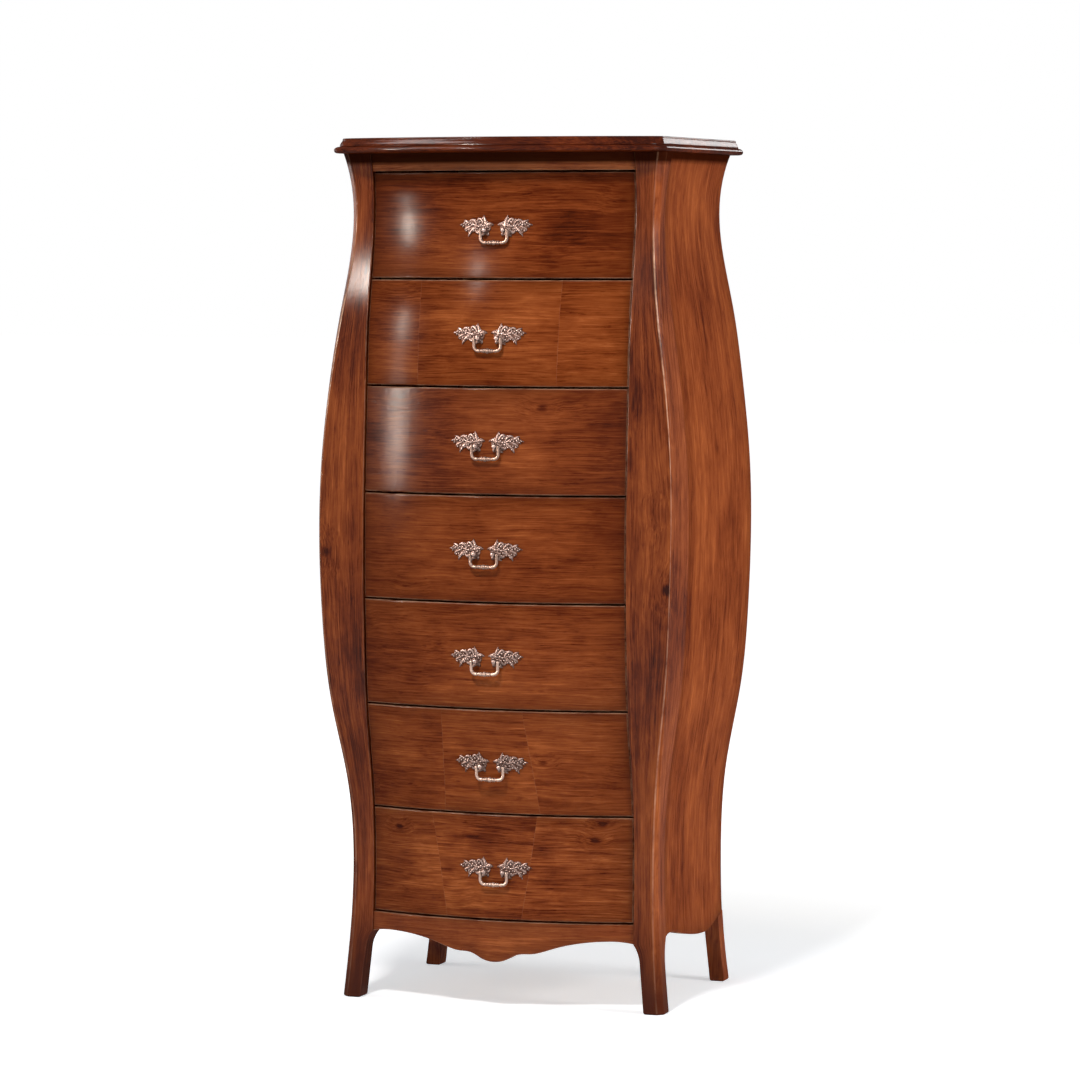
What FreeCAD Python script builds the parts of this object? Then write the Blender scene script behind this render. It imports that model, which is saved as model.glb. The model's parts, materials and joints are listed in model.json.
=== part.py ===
import FreeCAD, Part
import os
from FreeCAD import Vector

# Semainier: a tall narrow chest with one drawer for each day of the week.  Its case swells
# twice curved, at the front and at the sides, between a slim neck under the top and a slim
# waist above splayed legs.  Millimetres; +Z is up, -Y is the front, +X is the right side.
# Everything is drawn with y = 0 on the back of the case and moved at the end, so that the
# origin lies on the floor under the middle of the whole object.

# ---------------------------------------------------------------- driving dimensions
total_height = 1260.0
drawer_count = 7

# top: a slab on a slightly larger bead moulding
slab_thickness = 12.0
moulding_thickness = 10.0
moulding_half_width = 255.5
moulding_corner_depth = 359.0        # front corners, ahead of the case's back
moulding_back_overhang = 10.0
moulding_corner_cut = 9.6
slab_inset = 6.5
slab_round = 3.5
moulding_round = 3.5

# the case's outline: heights of its narrow and wide places
ankle_height = 100.0
waist_height = 200.0
front_belly_height = 690.0
rear_belly_height = 680.0
depth_belly_height = 620.0
neck_below_case_top = 110.0
# half widths at the front corners
floor_half_width = 250.0
ankle_half_width = 241.0
waist_half_width = 237.5
belly_half_width = 272.0
neck_half_width = 236.5
top_half_width = 249.0
# half widths at the back
rear_floor_half_width = 240.0
rear_ankle_half_width = 229.5
rear_waist_half_width = 227.5
rear_belly_half_width = 273.5
rear_neck_half_width = 223.5
rear_top_half_width = 239.0
# depths of the front posts' faces, ahead of the case's back
floor_depth = 345.0
ankle_depth = 338.0
waist_depth = 333.5
belly_depth = 373.0
neck_depth = 330.5
top_depth = 339.0
# how the swelling grows: share of the way, share of the swelling
lower_swell = ((0.27, 0.18), (0.52, 0.67), (0.76, 0.91))
front_upper_swell = ((0.25, 0.07), (0.49, 0.33), (0.73, 0.71))
rear_upper_swell = ((0.25, 0.05), (0.50, 0.27), (0.74, 0.58))
depth_upper_swell = ((0.26, 0.06), (0.56, 0.27), (0.77, 0.50), (0.87, 0.74))
# cut corner of the front posts
floor_corner_cut = 9.0
waist_corner_cut = 7.0
belly_corner_cut = 2.2
neck_corner_cut = 7.5
top_corner_cut = 10.5

# front posts and legs
opening_half_width = 202.0           # between the front posts
front_post_thickness = 34.5          # at the waist, front to back
front_leg_floor_width = 30.0
front_leg_top_width = 30.5
front_leg_top_height = 74.0
front_leg_floor_depth = 30.0
front_leg_top_depth = 28.0
knee_turn_across = 0.62              # where the bracket curve turns, as shares of its size
knee_turn_down = 0.42
foot_round = 3.0

# rear posts and legs
rear_post_inner = 186.0
rear_post_depth = 26.0
rear_leg_floor_width = 22.0
rear_leg_top_width = 22.0
rear_leg_top_height = 90.0

# panels, rails and boards
panel_thickness = 16.0
back_thickness = 8.0
back_rabbet = 7.0                    # how far the back is let into the side panels
back_panel_bottom = 113.0
front_bow = 33.0                     # rise of the drawers' curve between the posts
drawer_recess = 3.5                  # drawer ends behind the posts' faces
rail_recess = 2.0
top_rail_height = 27.0
top_rail_thickness = 24.0
apron_top = 129.0
apron_thickness = 22.0
# half of the apron's lower edge, from the middle: distance and height
apron_edge = ((0, 68.3), (10, 69.3), (19, 72.2), (28, 77), (38, 80.8), (56, 82), (74, 86),
              (93, 92), (125, 99.3), (158, 102.7), (184, 102.5))
apron_end_height = 99.5
# side panels' lower edge: distance ahead of the case's back and height
side_edge = ((280, 110.5), (244, 106), (194, 96.5), (144, 89), (114, 86.5), (86, 86), (50, 92))
side_edge_front_height = 107.0
side_edge_back_height = 105.0
rear_rail_thickness = 18.0
rear_top_rail_height = 38.0
rear_bottom_rail_height = 30.0
rear_bottom_rail_bottom = 107.0
bottom_board_thickness = 9.0
bottom_board_top = 125.0

# drawers
drawer_gap = 3.0
drawer_side_gap = 1.5
front_thickness = 20.0
front_arris = 1.5
box_side_gap = 6.0
box_side_thickness = 12.0
box_back_thickness = 12.0
box_back_gap = 8.0
box_top_gap = 10.0
box_back_drop = 6.0
bottom_thickness = 5.0
bottom_groove_depth = 5.0
bottom_groove_height = 8.0
# runners that carry the drawers, with guide strips
runner_thickness = 12.0
runner_top = 10.0                    # above the line between two drawers
runner_ledge = 20.0
runner_guide_height = 24.0
runner_guide_clearance = 1.5
runner_panel_gap = 1.0
sliding_clearance = 0.3

# drawer pulls: two pierced leaf plates, each with a cast lug, and a bail between the lugs
plate_thickness = 3.0
lug_radius = 3.2
lug_offset = 14.4
lug_drop = 7.0                       # pivot below the plates' middle line
lug_nose = 3.4                       # lug ahead of the pivot
pivot_standoff = 9.0                 # pivot ahead of the drawer's face
pin_radius = 1.3
pin_clearance = 0.05
bail_radius = 2.2
bail_ball_radius = 2.5
bail_lug_gap = 0.2
bail_drop = 18.0
bail_corner_radius = 7.0
grip_radius = 3.5
grip_half_length = 9.0
# half of the turned grip: share of its half length, share of its radius
grip_profile = ((0.0, 1.0), (0.3, 0.96), (0.62, 0.70), (0.82, 0.92), (1.0, 0.57))
pull_screw_radius = 2.0
pull_screw_hole_radius = 2.25
pull_screw_head_radius = 3.8
pull_screw_head_height = 2.4
pull_screw_pocket_clearance = 1.2
pull_screw_pocket_depth = 4.0
pull_screw_tip_gap = 1.2
# outline of one leaf plate: distance from the pull's middle, height over its middle line
leaf_outline = ((3.8, 0), (10.5, 3.6), (14.6, 7.2), (18.0, 12.0), (20.6, 7.8), (24.5, 8.2),
                (29.5, 5.6), (35.6, 6.8), (40.5, 3.8), (46.8, 6.2), (52.8, 0.2), (48.4, -2.8),
                (44.0, -6.6), (39.6, -13.6), (33.6, -9.4), (28.6, -8.8), (24.6, -13.0),
                (18.0, -11.6), (12.0, -12.2), (9.8, -6.8))
leaf_piercings = ((37.4, -1.2, 1.7), (29.6, -2.0, 1.4), (43.6, 1.0, 1.2))

# fasteners
screw_radius = 2.0
screw_head_radius = 4.0
screw_head_height = 3.0
top_screw_depth = 6.0                # into the slab
top_screw_spacing = 130.0
top_screw_counterbore = 5.0
back_screw_length = 22.0
back_screw_count = 4                 # on each side
back_screw_end_gap = 60.0
glue_block_size = 20.0
glue_block_length = 55.0
glue_block_count = 3                 # on each side

# ---------------------------------------------------------------- derived places
slab_bottom = total_height - slab_thickness
case_top = slab_bottom - moulding_thickness
neck_height = case_top - neck_below_case_top
opening_top = case_top - top_rail_height
drawer_pitch = (opening_top - apron_top) / drawer_count
front_post_back = -(waist_depth - front_post_thickness)
rear_post_front = -rear_post_depth
lug_outer_side = lug_offset + lug_radius
bail_arm = lug_outer_side + bail_lug_gap + bail_ball_radius
reach = 3.0 * belly_half_width       # longer than any cut through the case
curve_margin = 5.0                   # surfaces run on above and below the case
curve_step_count = 30
curve_heights = [(case_top + 2 * curve_margin) * step / curve_step_count - curve_margin
                 for step in range(curve_step_count + 1)]
seam_turn = 37.0                     # keeps a hole's seam off the middle lines of surfaces
tolerance = 0.001


# ---------------------------------------------------------------- curves of the case
def height_function(pairs):
    """Smooth function of the height through (height, value) pairs, as a plane curve."""
    curve = Part.BSplineCurve()
    curve.interpolate(Points=[Vector(z, value, 0) for z, value in pairs],
                      Parameters=[z for z, value in pairs])
    return curve


def swelling(floor, ankle, waist, belly, neck, top, belly_height, upper_swell):
    """Profile with a slim waist, a full belly and a slim neck."""
    pairs = [(0.0, floor), (ankle_height, ankle), (waist_height, waist)]
    for way, share in lower_swell:
        pairs.append((waist_height + way * (belly_height - waist_height),
                      waist + share * (belly - waist)))
    pairs.append((belly_height, belly))
    for way, share in upper_swell:
        pairs.append((belly_height + way * (neck_height - belly_height),
                      belly + share * (neck - belly)))
    pairs += [(neck_height, neck), (case_top, top)]
    return height_function(pairs)


width_curve = swelling(floor_half_width, ankle_half_width, waist_half_width, belly_half_width,
                       neck_half_width, top_half_width, front_belly_height, front_upper_swell)
rear_width_curve = swelling(rear_floor_half_width, rear_ankle_half_width,
                            rear_waist_half_width, rear_belly_half_width,
                            rear_neck_half_width, rear_top_half_width, rear_belly_height,
                            rear_upper_swell)
depth_curve = swelling(floor_depth, ankle_depth, waist_depth, belly_depth, neck_depth,
                       top_depth, depth_belly_height, depth_upper_swell)
cut_curve = height_function([(0.0, floor_corner_cut), (waist_height, waist_corner_cut),
                             (depth_belly_height, belly_corner_cut),
                             (neck_height, neck_corner_cut), (case_top, top_corner_cut)])


def half_width(z):
    return width_curve.value(z).y


def rear_half_width(z):
    return rear_width_curve.value(z).y


def depth(z):
    return depth_curve.value(z).y


def corner_cut(z):
    return cut_curve.value(z).y


def bow_rise(x):
    """How far the curved front stands ahead of its ends at a distance from the middle."""
    return front_bow * (1.0 - (x / opening_half_width) ** 2)


def face_y(x, z, recess):
    """The bowed front surface, set back by recess."""
    return -depth(z) + recess - bow_rise(x)



def space_edge(place):
    """Smooth edge through place(z) at the curve heights."""
    curve = Part.BSplineCurve()
    curve.interpolate(Points=[place(z) for z in curve_heights], Parameters=curve_heights)
    return curve.toShape()


def upright(solid):
    """The same solid with its faces pointing outwards."""
    if solid.Volume < 0:
        solid.reverse()
    return solid


def box(x0, x1, y0, y1, z0, z1):
    return Part.makeBox(x1 - x0, y1 - y0, z1 - z0, Vector(x0, y0, z0))


def cylinder_y(radius, x, z, y0, y1):
    cylinder = Part.makeCylinder(radius, y1 - y0, Vector(x, y0, z), Vector(0, 1, 0))
    cylinder.rotate(Vector(x, y0, z), Vector(0, 1, 0), seam_turn)
    return cylinder


def cylinder_z(radius, x, y, z0, z1):
    return Part.makeCylinder(radius, z1 - z0, Vector(x, y, z0), Vector(0, 0, 1))


def mirrored(shape):
    return shape.mirror(Vector(0, 0, 0), Vector(1, 0, 0))


# ---------------------------------------------------------------- bounding surfaces
def bowed_face(recess):
    """Front surface that bows in plan and follows the depth curve upwards."""
    half = opening_half_width + panel_thickness
    end = -bow_rise(half)
    across = ((-half, end), (0.0, -2.0 * front_bow - end), (half, end))
    rows = [[Vector(x, -pole.y + recess + rise, pole.x) for pole in depth_curve.getPoles()]
            for x, rise in across]
    surface = Part.BSplineSurface()
    surface.buildFromPolesMultsKnots(rows, (3, 3), depth_curve.getMultiplicities(), (0.0, 1.0),
                                     depth_curve.getKnots(), False, False, 2,
                                     depth_curve.Degree)
    return surface.toShape()


def bowed_sheet(recess, thickness):
    return upright(bowed_face(recess).extrude(Vector(0, thickness, 0)))


def side_point(z, forward):
    """Point on the right side's surface: 0 is its back edge, 1 is the post's cut corner."""
    front = Vector(half_width(z), -depth(z) + corner_cut(z), z)
    back = Vector(rear_half_width(z), 0, z)
    return back + (front - back) * forward


def side_wall(inset, thickness):
    """Slab that follows the right side's surface, inset from it and longer at both ends."""
    longer = 0.2
    front_edge = space_edge(lambda z: side_point(z, 1 + longer) - Vector(inset, 0, 0))
    back_edge = space_edge(lambda z: side_point(z, -longer) - Vector(inset, 0, 0))
    face = Part.makeRuledSurface(front_edge, back_edge)
    return upright(face.extrude(Vector(-thickness, 0, 0)))


def front_space():
    """Everything behind the posts' front faces."""
    edge = space_edge(lambda z: Vector(0, -depth(z), z))
    face = edge.extrude(Vector(reach, 0, 0))
    return upright(face.extrude(Vector(0, reach, 0)))


def corner_space():
    """Everything behind the cut corner of the right front post."""
    middle = (lambda z: Vector(half_width(z) - corner_cut(z) / 2,
                               -depth(z) + corner_cut(z) / 2, z))
    along = Vector(reach / 2, reach / 2, 0)
    face = Part.makeRuledSurface(space_edge(lambda z: middle(z) - along),
                                 space_edge(lambda z: middle(z) + along))
    return upright(face.extrude(Vector(-reach, reach, 0)))


def spline_edge(points):
    curve = Part.BSplineCurve()
    curve.interpolate(Points=points)
    return curve.toShape()


def closed_prism(edges, direction):
    """Prism on a flat outline of edges, the last point joined to the first."""
    first = edges[0].Vertexes[0].Point
    last = edges[-1].Vertexes[-1].Point
    closing = [Part.makeLine(last, first)] if first.distanceToPoint(last) > tolerance else []
    wire = Part.Wire(Part.__sortEdges__(edges + closing))
    return upright(Part.Face(wire).extrude(direction))


# ---------------------------------------------------------------- posts and legs
def leg_edge(post, knee_height, leg_top, leg_floor, leg_height):
    """Edge of a post that curves in to its leg: points in the plane (across, 0, height)."""
    top = Vector(post, 0, case_top)
    knee = Vector(post, 0, knee_height)
    turn = Vector(post + (leg_top - post) * knee_turn_across, 0,
                  knee_height + (leg_height - knee_height) * knee_turn_down)
    leg = Vector(leg_top, 0, leg_height)
    curve = spline_edge([knee, turn, leg])
    return [Part.makeLine(top, knee), curve, Part.makeLine(leg, Vector(leg_floor, 0, 0))]


def make_front_post():
    leg_inner_top = half_width(front_leg_top_height) - front_leg_top_width
    leg_inner_floor = floor_half_width - front_leg_floor_width
    inner = leg_edge(opening_half_width, apron_end_height, leg_inner_top, leg_inner_floor,
                     front_leg_top_height)
    outer = [Part.makeLine(Vector(leg_inner_floor, 0, 0), Vector(reach, 0, 0)),
             Part.makeLine(Vector(reach, 0, 0), Vector(reach, 0, case_top))]
    front_view = closed_prism(inner + outer, Vector(0, -reach, 0))
    leg_back_top = -depth(front_leg_top_height) + front_leg_top_depth
    leg_back_floor = -floor_depth + front_leg_floor_depth
    back = leg_edge(front_post_back, side_edge_front_height, leg_back_top, leg_back_floor,
                    front_leg_top_height)
    fore = [Part.makeLine(Vector(leg_back_floor, 0, 0), Vector(-reach, 0, 0)),
            Part.makeLine(Vector(-reach, 0, 0), Vector(-reach, 0, case_top))]
    side_view = closed_prism(back + fore, Vector(0, -reach, 0))
    side_view.rotate(Vector(0, 0, 0), Vector(0, 0, 1), 90)
    post = side_wall(0, reach).common(front_space()).common(corner_space())
    post = post.common(front_view).common(side_view)
    sole = [edge for edge in post.Edges if edge.BoundBox.ZMax < foot_round / 2]
    return post.makeFillet(foot_round, sole)


def make_side_panel():
    lower = spline_edge([Vector(front_post_back, 0, side_edge_front_height)]
                        + [Vector(-ahead, 0, z) for ahead, z in side_edge]
                        + [Vector(0, 0, side_edge_back_height)])
    upper = [Part.makeLine(Vector(0, 0, side_edge_back_height), Vector(0, 0, case_top)),
             Part.makeLine(Vector(0, 0, case_top), Vector(front_post_back, 0, case_top))]
    side_view = closed_prism([lower] + upper, Vector(0, -reach, 0))
    side_view.rotate(Vector(0, 0, 0), Vector(0, 0, 1), 90)
    return side_wall(0, panel_thickness).common(side_view)


def make_rear_post(side_panel):
    """Stands inside the side panel and comes out flush with it below its lower edge."""
    leg_inner_top = rear_half_width(rear_leg_top_height) - rear_leg_top_width
    leg_inner_floor = rear_floor_half_width - rear_leg_floor_width
    inner = leg_edge(rear_post_inner, back_panel_bottom, leg_inner_top, leg_inner_floor,
                     rear_leg_top_height)
    outer = [Part.makeLine(Vector(leg_inner_floor, 0, 0), Vector(reach, 0, 0)),
             Part.makeLine(Vector(reach, 0, 0), Vector(reach, 0, case_top))]
    front_view = closed_prism(inner + outer, Vector(0, -reach, 0))
    post = side_wall(0, reach).common(front_view)
    post = post.common(box(0, reach, rear_post_front, 0, 0, case_top))
    post = post.cut(box(0, reach, -back_thickness, reach, back_panel_bottom, case_top))
    hidden = side_wall(-panel_thickness, 2 * panel_thickness).common(
        box(0, reach, -reach, reach, side_edge_back_height, case_top))
    post = post.cut(hidden).cut(side_panel)
    sole = [edge for edge in post.Edges if edge.BoundBox.ZMax < foot_round / 2]
    return post.makeFillet(foot_round, sole)


# ---------------------------------------------------------------- rails, boards and top
def between_posts(recess, thickness, z0, z1, half=opening_half_width):
    """Bowed board between the front posts."""
    return bowed_sheet(recess, thickness).common(box(-half, half, -reach, reach, z0, z1))


def make_apron():
    points = [Vector(-opening_half_width, 0, apron_end_height)]
    points += [Vector(-x, 0, z) for x, z in reversed(apron_edge)]
    points += [Vector(x, 0, z) for x, z in apron_edge[1:]]
    points.append(Vector(opening_half_width, 0, apron_end_height))
    top_right = Vector(opening_half_width, 0, apron_top - drawer_gap / 2)
    top_left = Vector(-opening_half_width, 0, apron_top - drawer_gap / 2)
    outline = [spline_edge(points), Part.makeLine(points[-1], top_right),
               Part.makeLine(top_right, top_left)]
    return bowed_sheet(rail_recess, apron_thickness).common(
        closed_prism(outline, Vector(0, -reach, 0)))


def between_sides(inset, y0, y1, z0, z1):
    """Flat board whose ends follow both sides' surfaces, inset from them."""
    right_outside = side_wall(inset - reach, reach)
    return box(-reach / 2, reach / 2, y0, y1, z0, z1).cut(right_outside).cut(
        mirrored(right_outside))


def make_bottom_board():
    z0 = bottom_board_top - bottom_board_thickness
    middle = between_sides(panel_thickness, front_post_back, rear_post_front, z0,
                           bottom_board_top)
    behind_apron = bowed_sheet(rail_recess + apron_thickness, reach)
    nose = box(-opening_half_width, opening_half_width, -reach, front_post_back, z0,
               bottom_board_top).common(behind_apron)
    return middle.fuse(nose).removeSplitter()


def top_outline(inset):
    """Plan of the top: straight sides and back, bowed front with cut corners."""
    x = moulding_half_width - inset
    front = -moulding_corner_depth + inset
    back = moulding_back_overhang - inset / 2
    cut = moulding_corner_cut
    rise = front_bow * ((x - cut) / opening_half_width) ** 2
    bow = Part.Arc(Vector(cut - x, front, 0), Vector(0, front - rise, 0),
                   Vector(x - cut, front, 0))
    corners = [Vector(x - cut, front, 0), Vector(x, front + cut, 0), Vector(x, back, 0),
               Vector(-x, back, 0), Vector(-x, front + cut, 0), Vector(cut - x, front, 0)]
    sides = [Part.makeLine(a, b) for a, b in zip(corners, corners[1:])]
    return Part.Face(Part.Wire([bow.toShape()] + sides))


def make_moulding():
    board = top_outline(0).extrude(Vector(0, 0, moulding_thickness))
    board.translate(Vector(0, 0, case_top))
    rims = [edge for edge in board.Edges if edge.BoundBox.ZLength < tolerance
            and edge.BoundBox.YMin < moulding_back_overhang - tolerance]
    return board.makeFillet(moulding_round, rims)


def make_slab():
    board = top_outline(slab_inset).extrude(Vector(0, 0, slab_thickness))
    board.translate(Vector(0, 0, slab_bottom))
    rims = [edge for edge in board.Edges if edge.BoundBox.ZMin > total_height - tolerance]
    return board.makeFillet(slab_round, rims)


def make_glue_blocks():
    blocks = []
    span = -front_post_back - rear_post_depth
    inside = side_wall(panel_thickness, reach)
    for index in range(glue_block_count):
        middle = front_post_back + span * (index + 0.5) / glue_block_count
        x_inner = rear_neck_half_width - panel_thickness - glue_block_size
        block = box(x_inner, reach, middle - glue_block_length / 2,
                    middle + glue_block_length / 2, case_top - glue_block_size, case_top)
        block = block.common(inside)
        blocks += [block, mirrored(block)]
    return Part.makeCompound(blocks)


def make_runner(index):
    """Right-hand runner under one drawer: a ledge and a guide strip glued on it."""
    line = apron_top + index * drawer_pitch
    outer = rear_neck_half_width - panel_thickness - runner_panel_gap
    top = line + runner_top
    guide_inner = opening_half_width - box_side_gap + runner_guide_clearance
    return [box(outer - runner_ledge, outer, front_post_back, rear_post_front,
                top - runner_thickness, top),
            box(guide_inner, outer, front_post_back, rear_post_front, top,
                top + runner_guide_height)]


def wood_screw(length):
    """Upright screw with its head below: z = 0 under the head, z = length at the tip."""
    head = Part.makeCylinder(screw_head_radius, screw_head_height)
    shank = cylinder_z(screw_radius, 0, 0, 0, length)
    return head.fuse(shank).removeSplitter()


def placed(shape, x, y, z):
    copy = shape.copy()
    copy.translate(Vector(x, y, z))
    return copy


def make_top_screws():
    """Screws and the holes they pass: through both rails into the top."""
    tip = slab_bottom + top_screw_depth
    rear_y = -back_thickness - rear_rail_thickness / 2
    screws, holes = [], []
    for column in (-1, 0, 1):
        x = column * top_screw_spacing
        for y, rail_bottom in ((face_y(x, opening_top, rail_recess) + top_rail_thickness / 2,
                                opening_top + drawer_gap / 2),
                               (rear_y, case_top - rear_top_rail_height)):
            head = rail_bottom + top_screw_counterbore
            screws.append(placed(wood_screw(tip - head), x, y, head))
            holes.append(cylinder_z(screw_head_radius, x, y, rail_bottom - 1, head))
    return screws, holes


def make_back_screws():
    screws = []
    x = rear_post_inner + (rear_neck_half_width - panel_thickness - rear_post_inner) / 2
    span = case_top - back_panel_bottom - 2 * back_screw_end_gap
    for index in range(back_screw_count):
        z = back_panel_bottom + back_screw_end_gap + span * index / (back_screw_count - 1)
        screw = wood_screw(back_screw_length)
        screw.rotate(Vector(0, 0, 0), Vector(1, 0, 0), 90)
        screws += [placed(screw, x, 0, z), placed(screw, -x, 0, z)]
    return screws


# ---------------------------------------------------------------- drawers
def drawer_bottom_line(number):
    """Drawer 1 is the top one."""
    return apron_top + (drawer_count - number) * drawer_pitch


def pull_place(number):
    """Height of the pull's middle line, height of its pivot and the pivot's y."""
    middle = drawer_bottom_line(number) + drawer_pitch / 2
    pivot_z = middle - lug_drop
    pivot_y = face_y(lug_offset, pivot_z, drawer_recess) - pivot_standoff
    return middle, pivot_z, pivot_y


def make_leaf_plate(number):
    """Right leaf of one pull, following the drawer's curved face, with its lug."""
    middle, pivot_z, pivot_y = pull_place(number)
    points = [Vector(x, 0, middle + z) for x, z in leaf_outline]
    curve = Part.BSplineCurve()
    curve.interpolate(Points=points, PeriodicFlag=True)
    leaf = upright(Part.Face(Part.Wire(curve.toShape())).extrude(Vector(0, -reach, 0)))
    # only the surroundings of the leaf, so that every cut stays a small one
    room = max(x for x, z in leaf_outline)
    around = box(-room, 2 * room, pivot_y - room, pivot_y + room, middle - room, middle + room)
    sheet = bowed_sheet(drawer_recess - plate_thickness, plate_thickness).common(around)
    plate = sheet.common(leaf)
    for x, z, radius in leaf_piercings:
        plate = plate.cut(cylinder_y(radius, x, middle + z, pivot_y - room, pivot_y + room))
    lug = cylinder_y(lug_radius, lug_offset, pivot_z, pivot_y - lug_nose,
                     pivot_y + pivot_standoff + plate_thickness)
    drawer_front = bowed_sheet(drawer_recess, reach).common(around)
    plate = plate.fuse(lug.cut(drawer_front))
    eye = Part.makeCylinder(pin_radius + pin_clearance, 2 * lug_offset,
                            Vector(0, pivot_y, pivot_z), Vector(1, 0, 0))
    return plate.cut(eye)


def make_pull_screw(number, pocket_floor):
    """Right screw of one pull, from the pocket behind the drawer front into the lug."""
    middle, pivot_z, pivot_y = pull_place(number)
    tip = pivot_y + pin_radius + pin_clearance + pull_screw_tip_gap
    shank = cylinder_y(pull_screw_radius, lug_offset, pivot_z, tip, pocket_floor)
    head = cylinder_y(pull_screw_head_radius, lug_offset, pivot_z, pocket_floor,
                      pocket_floor + pull_screw_head_height)
    return shank.fuse(head).removeSplitter()


def make_bail(number):
    """Bail hanging at rest, with a turned grip and two pins that point inwards."""
    middle, pivot_z, pivot_y = pull_place(number)
    r = bail_corner_radius
    left, right, low = -bail_arm, bail_arm, -bail_drop
    bend = r * (1 - 0.5 ** 0.5)
    path = Part.Wire([
        Part.makeLine(Vector(left, 0, 0), Vector(left, 0, low + r)),
        Part.Arc(Vector(left, 0, low + r), Vector(left + bend, 0, low + bend),
                 Vector(left + r, 0, low)).toShape(),
        Part.makeLine(Vector(left + r, 0, low), Vector(right - r, 0, low)),
        Part.Arc(Vector(right - r, 0, low), Vector(right - bend, 0, low + bend),
                 Vector(right, 0, low + r)).toShape(),
        Part.makeLine(Vector(right, 0, low + r), Vector(right, 0, 0))])
    section = Part.Wire(Part.makeCircle(bail_radius, Vector(left, 0, 0), Vector(0, 0, 1)))
    bail = path.makePipeShell([section], True, False)
    for side in (-1, 1):
        ball = Part.makeSphere(bail_ball_radius, Vector(side * bail_arm, 0, 0))
        pin_length = bail_arm - lug_offset + lug_radius
        pin = Part.makeCylinder(pin_radius, pin_length, Vector(side * bail_arm, 0, 0),
                                Vector(-side, 0, 0))
        bail = bail.fuse(ball).fuse(pin)
    bail = bail.fuse(turned_grip(low)).removeSplitter()
    return placed(bail, 0, pivot_y, pivot_z)


def turned_grip(z):
    """Turned swelling in the middle of the bail's bar, with a ring at each end."""
    half = [(share * grip_half_length, radius_share * grip_radius)
            for share, radius_share in grip_profile]
    points = [Vector(-x, 0, z + radius) for x, radius in reversed(half)]
    points += [Vector(x, 0, z + radius) for x, radius in half[1:]]
    axis_ends = [Vector(grip_half_length, 0, z), Vector(-grip_half_length, 0, z)]
    outline = [spline_edge(points), Part.makeLine(points[-1], axis_ends[0]),
               Part.makeLine(axis_ends[0], axis_ends[1]),
               Part.makeLine(axis_ends[1], points[0])]
    face = Part.Face(Part.Wire(outline))
    return upright(face.revolve(Vector(0, 0, z), Vector(1, 0, 0), 360))


def make_drawer(number):
    """The pieces of one drawer, by the ends of their node names."""
    line = drawer_bottom_line(number)
    low = line + drawer_gap / 2
    high = line + drawer_pitch - drawer_gap / 2
    half = opening_half_width - drawer_side_gap
    box_low = line + runner_top + sliding_clearance
    box_high = line + drawer_pitch - box_top_gap
    box_rear = rear_post_front - box_back_gap
    outer = opening_half_width - box_side_gap
    inner = outer - box_side_thickness
    behind_front = bowed_sheet(drawer_recess + front_thickness, reach)

    front = between_posts(drawer_recess, front_thickness, low, high, half)
    arris = [edge for edge in front.Edges if is_front_edge(edge)]
    front = front.makeChamfer(front_arris, arris)
    sides = box(inner, outer, -reach, box_rear, box_low, box_high).common(behind_front)
    sides = Part.makeCompound([sides, mirrored(sides)])
    floor_z = box_low + bottom_groove_height
    bottom = box(-inner - bottom_groove_depth, inner + bottom_groove_depth, -reach, box_rear,
                 floor_z, floor_z + bottom_thickness)
    bottom = bottom.common(bowed_sheet(drawer_recess + front_thickness - bottom_groove_depth,
                                       reach))
    back = box(-inner, inner, box_rear - box_back_thickness, box_rear,
               floor_z + bottom_thickness, box_high - box_back_drop)

    middle, pivot_z, pivot_y = pull_place(number)
    pocket_floor = (face_y(lug_offset, pivot_z, drawer_recess + front_thickness)
                    - pull_screw_pocket_depth)
    pocket_radius = pull_screw_head_radius + pull_screw_pocket_clearance
    for x in (-lug_offset, lug_offset):
        front = front.cut(cylinder_y(pull_screw_hole_radius, x, pivot_z, pivot_y, 0))
        front = front.cut(cylinder_y(pocket_radius, x, pivot_z, pocket_floor, 0))
    screw = make_pull_screw(number, pocket_floor)
    plate = make_leaf_plate(number).cut(screw)
    return {
        "front": front.cut(bottom),
        "sides": sides.cut(bottom),
        "back": back,
        "bottom": bottom,
        "pull_plates": Part.makeCompound([plate, mirrored(plate), screw, mirrored(screw)]),
        "bail": make_bail(number),
    }


def is_front_edge(edge):
    """Edges round the bowed front face of a drawer front."""
    middle = edge.valueAt((edge.FirstParameter + edge.LastParameter) / 2)
    surface_y = face_y(middle.x, middle.z, drawer_recess)
    return abs(middle.y - surface_y) < front_thickness / 4


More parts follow.
